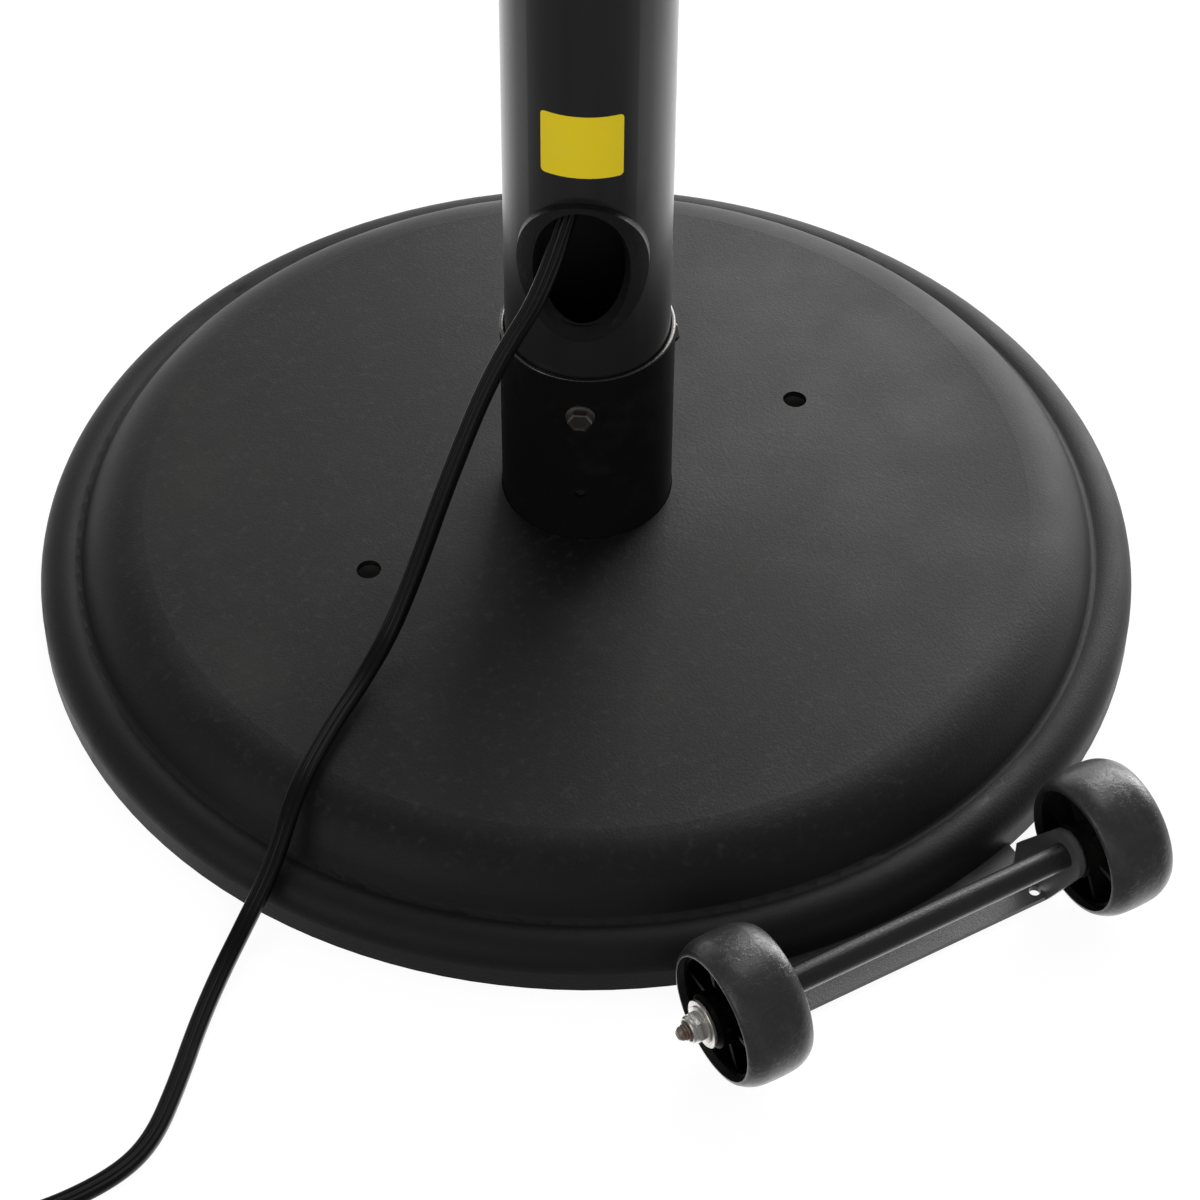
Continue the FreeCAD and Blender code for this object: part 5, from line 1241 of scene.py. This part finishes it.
@dataclass
class BlankSticker:
    """A bare rectangle of film on the pole, above its cable port."""

    azimuth: float = BOLT_AZIMUTH
    pole_r: float = 38.1 * MM
    low: float = 272.0 * MM
    high: float = 305.0 * MM
    width: float = 37.0 * MM
    film: float = 0.12 * MM
    corner: float = 2.0 * MM
    steps: int = 18

    def build(self) -> None:
        """Spin an upright edge round part of the pole and give it a thickness."""
        work = bmesh.new()
        reach = self.pole_r + self.film / 2
        sweep = self.width / reach
        start = math.radians(self.azimuth) - sweep / 2
        foot = Vector((reach * math.cos(start), reach * math.sin(start), self.low))
        head = foot + Vector((0.0, 0.0, self.high - self.low))
        edge = [work.verts.new(foot), work.verts.new(head)]
        line = work.edges.new(edge)
        bmesh.ops.spin(
            work,
            geom=[*edge, line],
            cent=(0.0, 0.0, 0.0),
            axis=(0.0, 0.0, 1.0),
            angle=sweep,
            steps=self.steps,
            use_merge=False,
        )
        tips = [vertex for vertex in work.verts if len(vertex.link_edges) == 2]
        bmesh.ops.bevel(
            work,
            geom=tips,
            offset=self.corner,
            affect="VERTICES",
            segments=4,
            profile=0.5,
            material=-1,
        )
        bmesh.ops.recalc_face_normals(work, faces=work.faces)
        bmesh.ops.solidify(work, geom=work.faces[:], thickness=self.film)
        new_piece("blank_sticker", mesh_from(work, "blank_sticker"), Body.STAND, LABEL)


@dataclass
class WheelAxle:
    """The axle's hardware along X: the bolt, four washers and a flanged lock nut.

    Its line is in metres. The rest is in millimetres, and the nut is measured from its seat.
    """

    line: Point = (0.0, 294.4 * MM, 39.3 * MM)
    seat: float = 114.2
    head: float = 5.3
    flats: float = 13.0
    ease: float = 0.45
    washer_r: float = 11.0
    washer_hole_r: float = 4.1
    washer_thick: float = 1.6
    washer_edge: float = 0.25
    washer_starts: Sequence[float] = (-114.2, -76.6, 75.0, 112.6)
    rod: Profile = (
        (-114.2, 0.0),
        (-114.2, 4.0),
        (120.2, 4.0),
        (120.825, 3.4),
        (121.45, 4.0),
        (122.075, 3.4),
        (122.7, 3.7),
        (123.325, 3.0),
        (123.95, 3.3),
        (125.0, 2.7),
        (125.7, 2.1),
        (126.0, 1.3),
        (126.0, 0.0),
    )
    nut_hex: Sequence[float] = (0.9, 4.7)
    flange: Profile = (
        (0.0, 4.2),
        (0.0, 8.2),
        (0.5, 8.5),
        (0.9, 8.4),
        (1.4, 7.4),
        (1.4, 4.2),
    )
    collar: Profile = (
        (4.5, 4.3),
        (4.5, 6.2),
        (5.9, 6.2),
        (6.5, 5.9),
        (6.8, 5.4),
        (6.7, 5.0),
        (6.2, 4.8),
        (6.2, 4.3),
    )
    insert: Profile = (
        (5.6, 4.0),
        (5.6, 4.9),
        (6.3, 4.9),
        (6.45, 4.5),
        (6.3, 4.0),
    )

    def fit(
        self,
        work: bmesh.types.BMesh,
        name: str,
        finish: Finish,
        slot: str,
        *nodes: str,
    ) -> None:
        """Make a piece of a bmesh.

        Args:
            work: The shape.
            name: The piece's name.
            finish: Its finish.
            slot: Not used.
            nodes: The CAD nodes that it stands for.
        """
        piece = new_piece(name, mesh_from(work, name), Body.STAND, finish)
        if nodes:
            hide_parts(*nodes)

    def washer(self, low: float) -> Profile:
        """A washer's profile.

        Args:
            low: Where the washer starts along the axle.

        Returns:
            The profile, with eased outer edges.
        """
        high, edge = low + self.washer_thick, self.washer_edge
        ring = [(low, self.washer_hole_r), (low, self.washer_r - edge)]
        ring += [(low + edge, self.washer_r), (high - edge, self.washer_r)]
        return ring + [(high, self.washer_r - edge), (high, self.washer_hole_r)]

    def build(self) -> None:
        """Turn the bolt, the washers and the nut."""
        centre = Vector(self.line)
        flats, ease, seat = self.flats * MM, self.ease * MM, self.seat
        bolt = bmesh.new()
        lathe(bolt, centre, Axis.X, metres(self.rod))
        hexagon(bolt, centre, -(seat + self.head) * MM, -seat * MM, flats, ease)
        self.fit(bolt, "axle_rod", ROD, "worn_steel", "axle_bolt")
        washers = bmesh.new()
        for start in self.washer_starts:
            lathe(washers, centre, Axis.X, metres(self.washer(start)), closed=True)
        self.fit(washers, "axle_washers", PLATED, "plated_steel", "wheel_washers")
        nut = bmesh.new()
        lathe(nut, centre, Axis.X, metres(self.flange, seat), closed=True)
        lathe(nut, centre, Axis.X, metres(self.collar, seat), closed=True)
        low, high = ((seat + place) * MM for place in self.nut_hex)
        hexagon(nut, centre, low, high, flats, ease)
        self.fit(nut, "lock_nut", PLATED, "plated_steel", "axle_nut")
        insert = bmesh.new()
        lathe(insert, centre, Axis.X, metres(self.insert, seat), closed=True)
        self.fit(insert, "nut_insert", NYLON, "black_plastic")


@dataclass
class WallBolts:
    """Flanged hex bolts that stand radially in a tube's wall, in millimetres."""

    name: str
    node: str
    seat_r: float
    heights: Sequence[float]
    count: int
    azimuth: float = BOLT_AZIMUTH
    facets: int = 40
    flats: float = 10.0
    foot: float = 1.0
    head: float = 5.0
    ease: float = 0.5
    land: float = 0.8
    slope: float = 0.3
    dish: float = 0.5
    flange: Profile = (
        (-0.7, 0.0),
        (-0.7, 6.7),
        (0.5, 6.8),
        (0.9, 6.6),
        (1.5, 5.2),
        (1.5, 0.0),
    )

    def bolt(self, work: bmesh.types.BMesh, height: float, azimuth: float) -> None:
        """Make a bolt along X, with a dished head, and turn it to its place.

        Args:
            work: The bmesh that gets the bolt.
            height: How high it stands, in millimetres.
            azimuth: Where it stands round the tube, in degrees.
        """
        before = set(work.verts)
        centre = Vector((self.seat_r, 0.0, height)) * MM
        lathe(work, centre, Axis.X, metres(self.flange), steps=self.facets)
        hexagon(work, centre, self.foot * MM, self.head * MM, self.flats * MM, self.ease * MM)
        end = max(work.faces, key=lambda face: face.calc_center_median().x + face.calc_area())
        bmesh.ops.inset_region(work, faces=[end], thickness=self.land * MM, depth=0.0)
        bmesh.ops.inset_region(work, faces=[end], thickness=self.slope * MM, depth=-self.dish * MM)
        made = [vertex for vertex in work.verts if vertex not in before]
        turn = Matrix.Rotation(math.radians(azimuth), 3, "Z")
        bmesh.ops.rotate(work, verts=made, cent=(0.0, 0.0, 0.0), matrix=turn)

    def build(self) -> None:
        """Set a ring of bolts at each height."""
        work = bmesh.new()
        for height in self.heights:
            for index in range(self.count):
                self.bolt(work, height, self.azimuth + 360.0 * index / self.count)
        piece = new_piece(self.name, mesh_from(work, self.name), Body.STAND, BLACK_BOLT)
        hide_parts(self.node)


@dataclass
class SocketLip:
    """The bare rounded edge that caps the foot socket, as heights and radii in millimetres."""

    ring: Profile = (
        (156.0, 40.37),
        (156.3, 40.42),
        (156.7, 40.42),
        (157.0, 40.2),
        (157.12, 39.82),
        (157.12, 38.92),
        (156.97, 38.62),
        (156.5, 38.52),
        (156.0, 38.52),
    )
    facets: int = 128

    def build(self) -> None:
        """Spin the ring round the pole's axis."""
        work = bmesh.new()
        middle = Vector((0.0, 0.0, 0.0))
        lathe(work, middle, Axis.Z, metres(self.ring), closed=True, steps=self.facets)
        piece = new_piece("socket_lip", mesh_from(work, "socket_lip"), Body.STAND, BARE_EDGE)


@dataclass
class Dressing:
    """Which finish each CAD node gets."""

    plan: Sequence[tuple[Finish, Sequence[str]]] = (
        (COVER, ("base_cover",)),
        (PLASTIC, ("pole_cap", "pole_gland", "left_end_cap", "right_end_cap", "clamp_knob")),
        (PLASTIC, ("terminal_box", "box_lid", "box_gland", "switch_frame", "power_switch")),
        (PLASTIC, ("plug_body",)),
        (SHADED_HUB, ("left_hub", "right_hub")),
        (POWDER, ("base_plate", "foot_socket", "tilt_fork", "head_lug")),
        (SHEEN_BRACKET, ("wheel_bracket",)),
        (SLEEVE, ("axle_sleeve",)),
        (POLE, ("lower_pole", "upper_pole")),
        (HEAD_PAINT, ("head_housing",)),
        (PLATED, ("pole_coupler", "base_bolts", "base_nuts", "cover_screws", "bracket_screws")),
        (DULL, ("socket_nuts", "fork_bolts", "pivot_bolt", "pivot_washer", "lug_screws")),
        (DULL, ("end_cap_screws", "lid_screws")),
        (CONCRETE, ("ballast",)),
        (TYRE, ("left_tyre", "right_tyre")),
        (GROMMET, ("cable_grommet",)),
        (ALUMINIUM, ("reflector", "reflector_ends")),
        (QUARTZ, ("lamp_tube",)),
        (CARBON, ("carbon_ribbon",)),
        (CERAMIC, ("lamp_holders", "terminal_block")),
        (CHROME, ("front_guard",)),
        (JACKET, ("inner_cable",)),
        (BRASS, ("plug_pins",)),
    )

    def build(self) -> None:
        """Dress every CAD node that stays in view."""
        for finish, names in self.plan:
            finish.dress(cad(*names))
            log.info("%s: %s", finish.name, ", ".join(names))


def main() -> None:
    """Build the scene."""
    logging.basicConfig(level=logging.INFO, format="%(message)s")
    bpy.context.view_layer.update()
    PhotoCamera().build()
    MainsCord().build()
    Dressing().build()
    WheelAxle().build()
    WallBolts("foot_bolts", "socket_bolts", seat_r=40.3, heights=(135.0,), count=3).build()
    WallBolts("seam_bolts", "coupler_bolts", seat_r=38.1, heights=(955.0, 1045.0), count=2).build()
    SocketLip().build()
    BlankSticker().build()
    Studio().build()


if __name__ == "__main__":
    main()
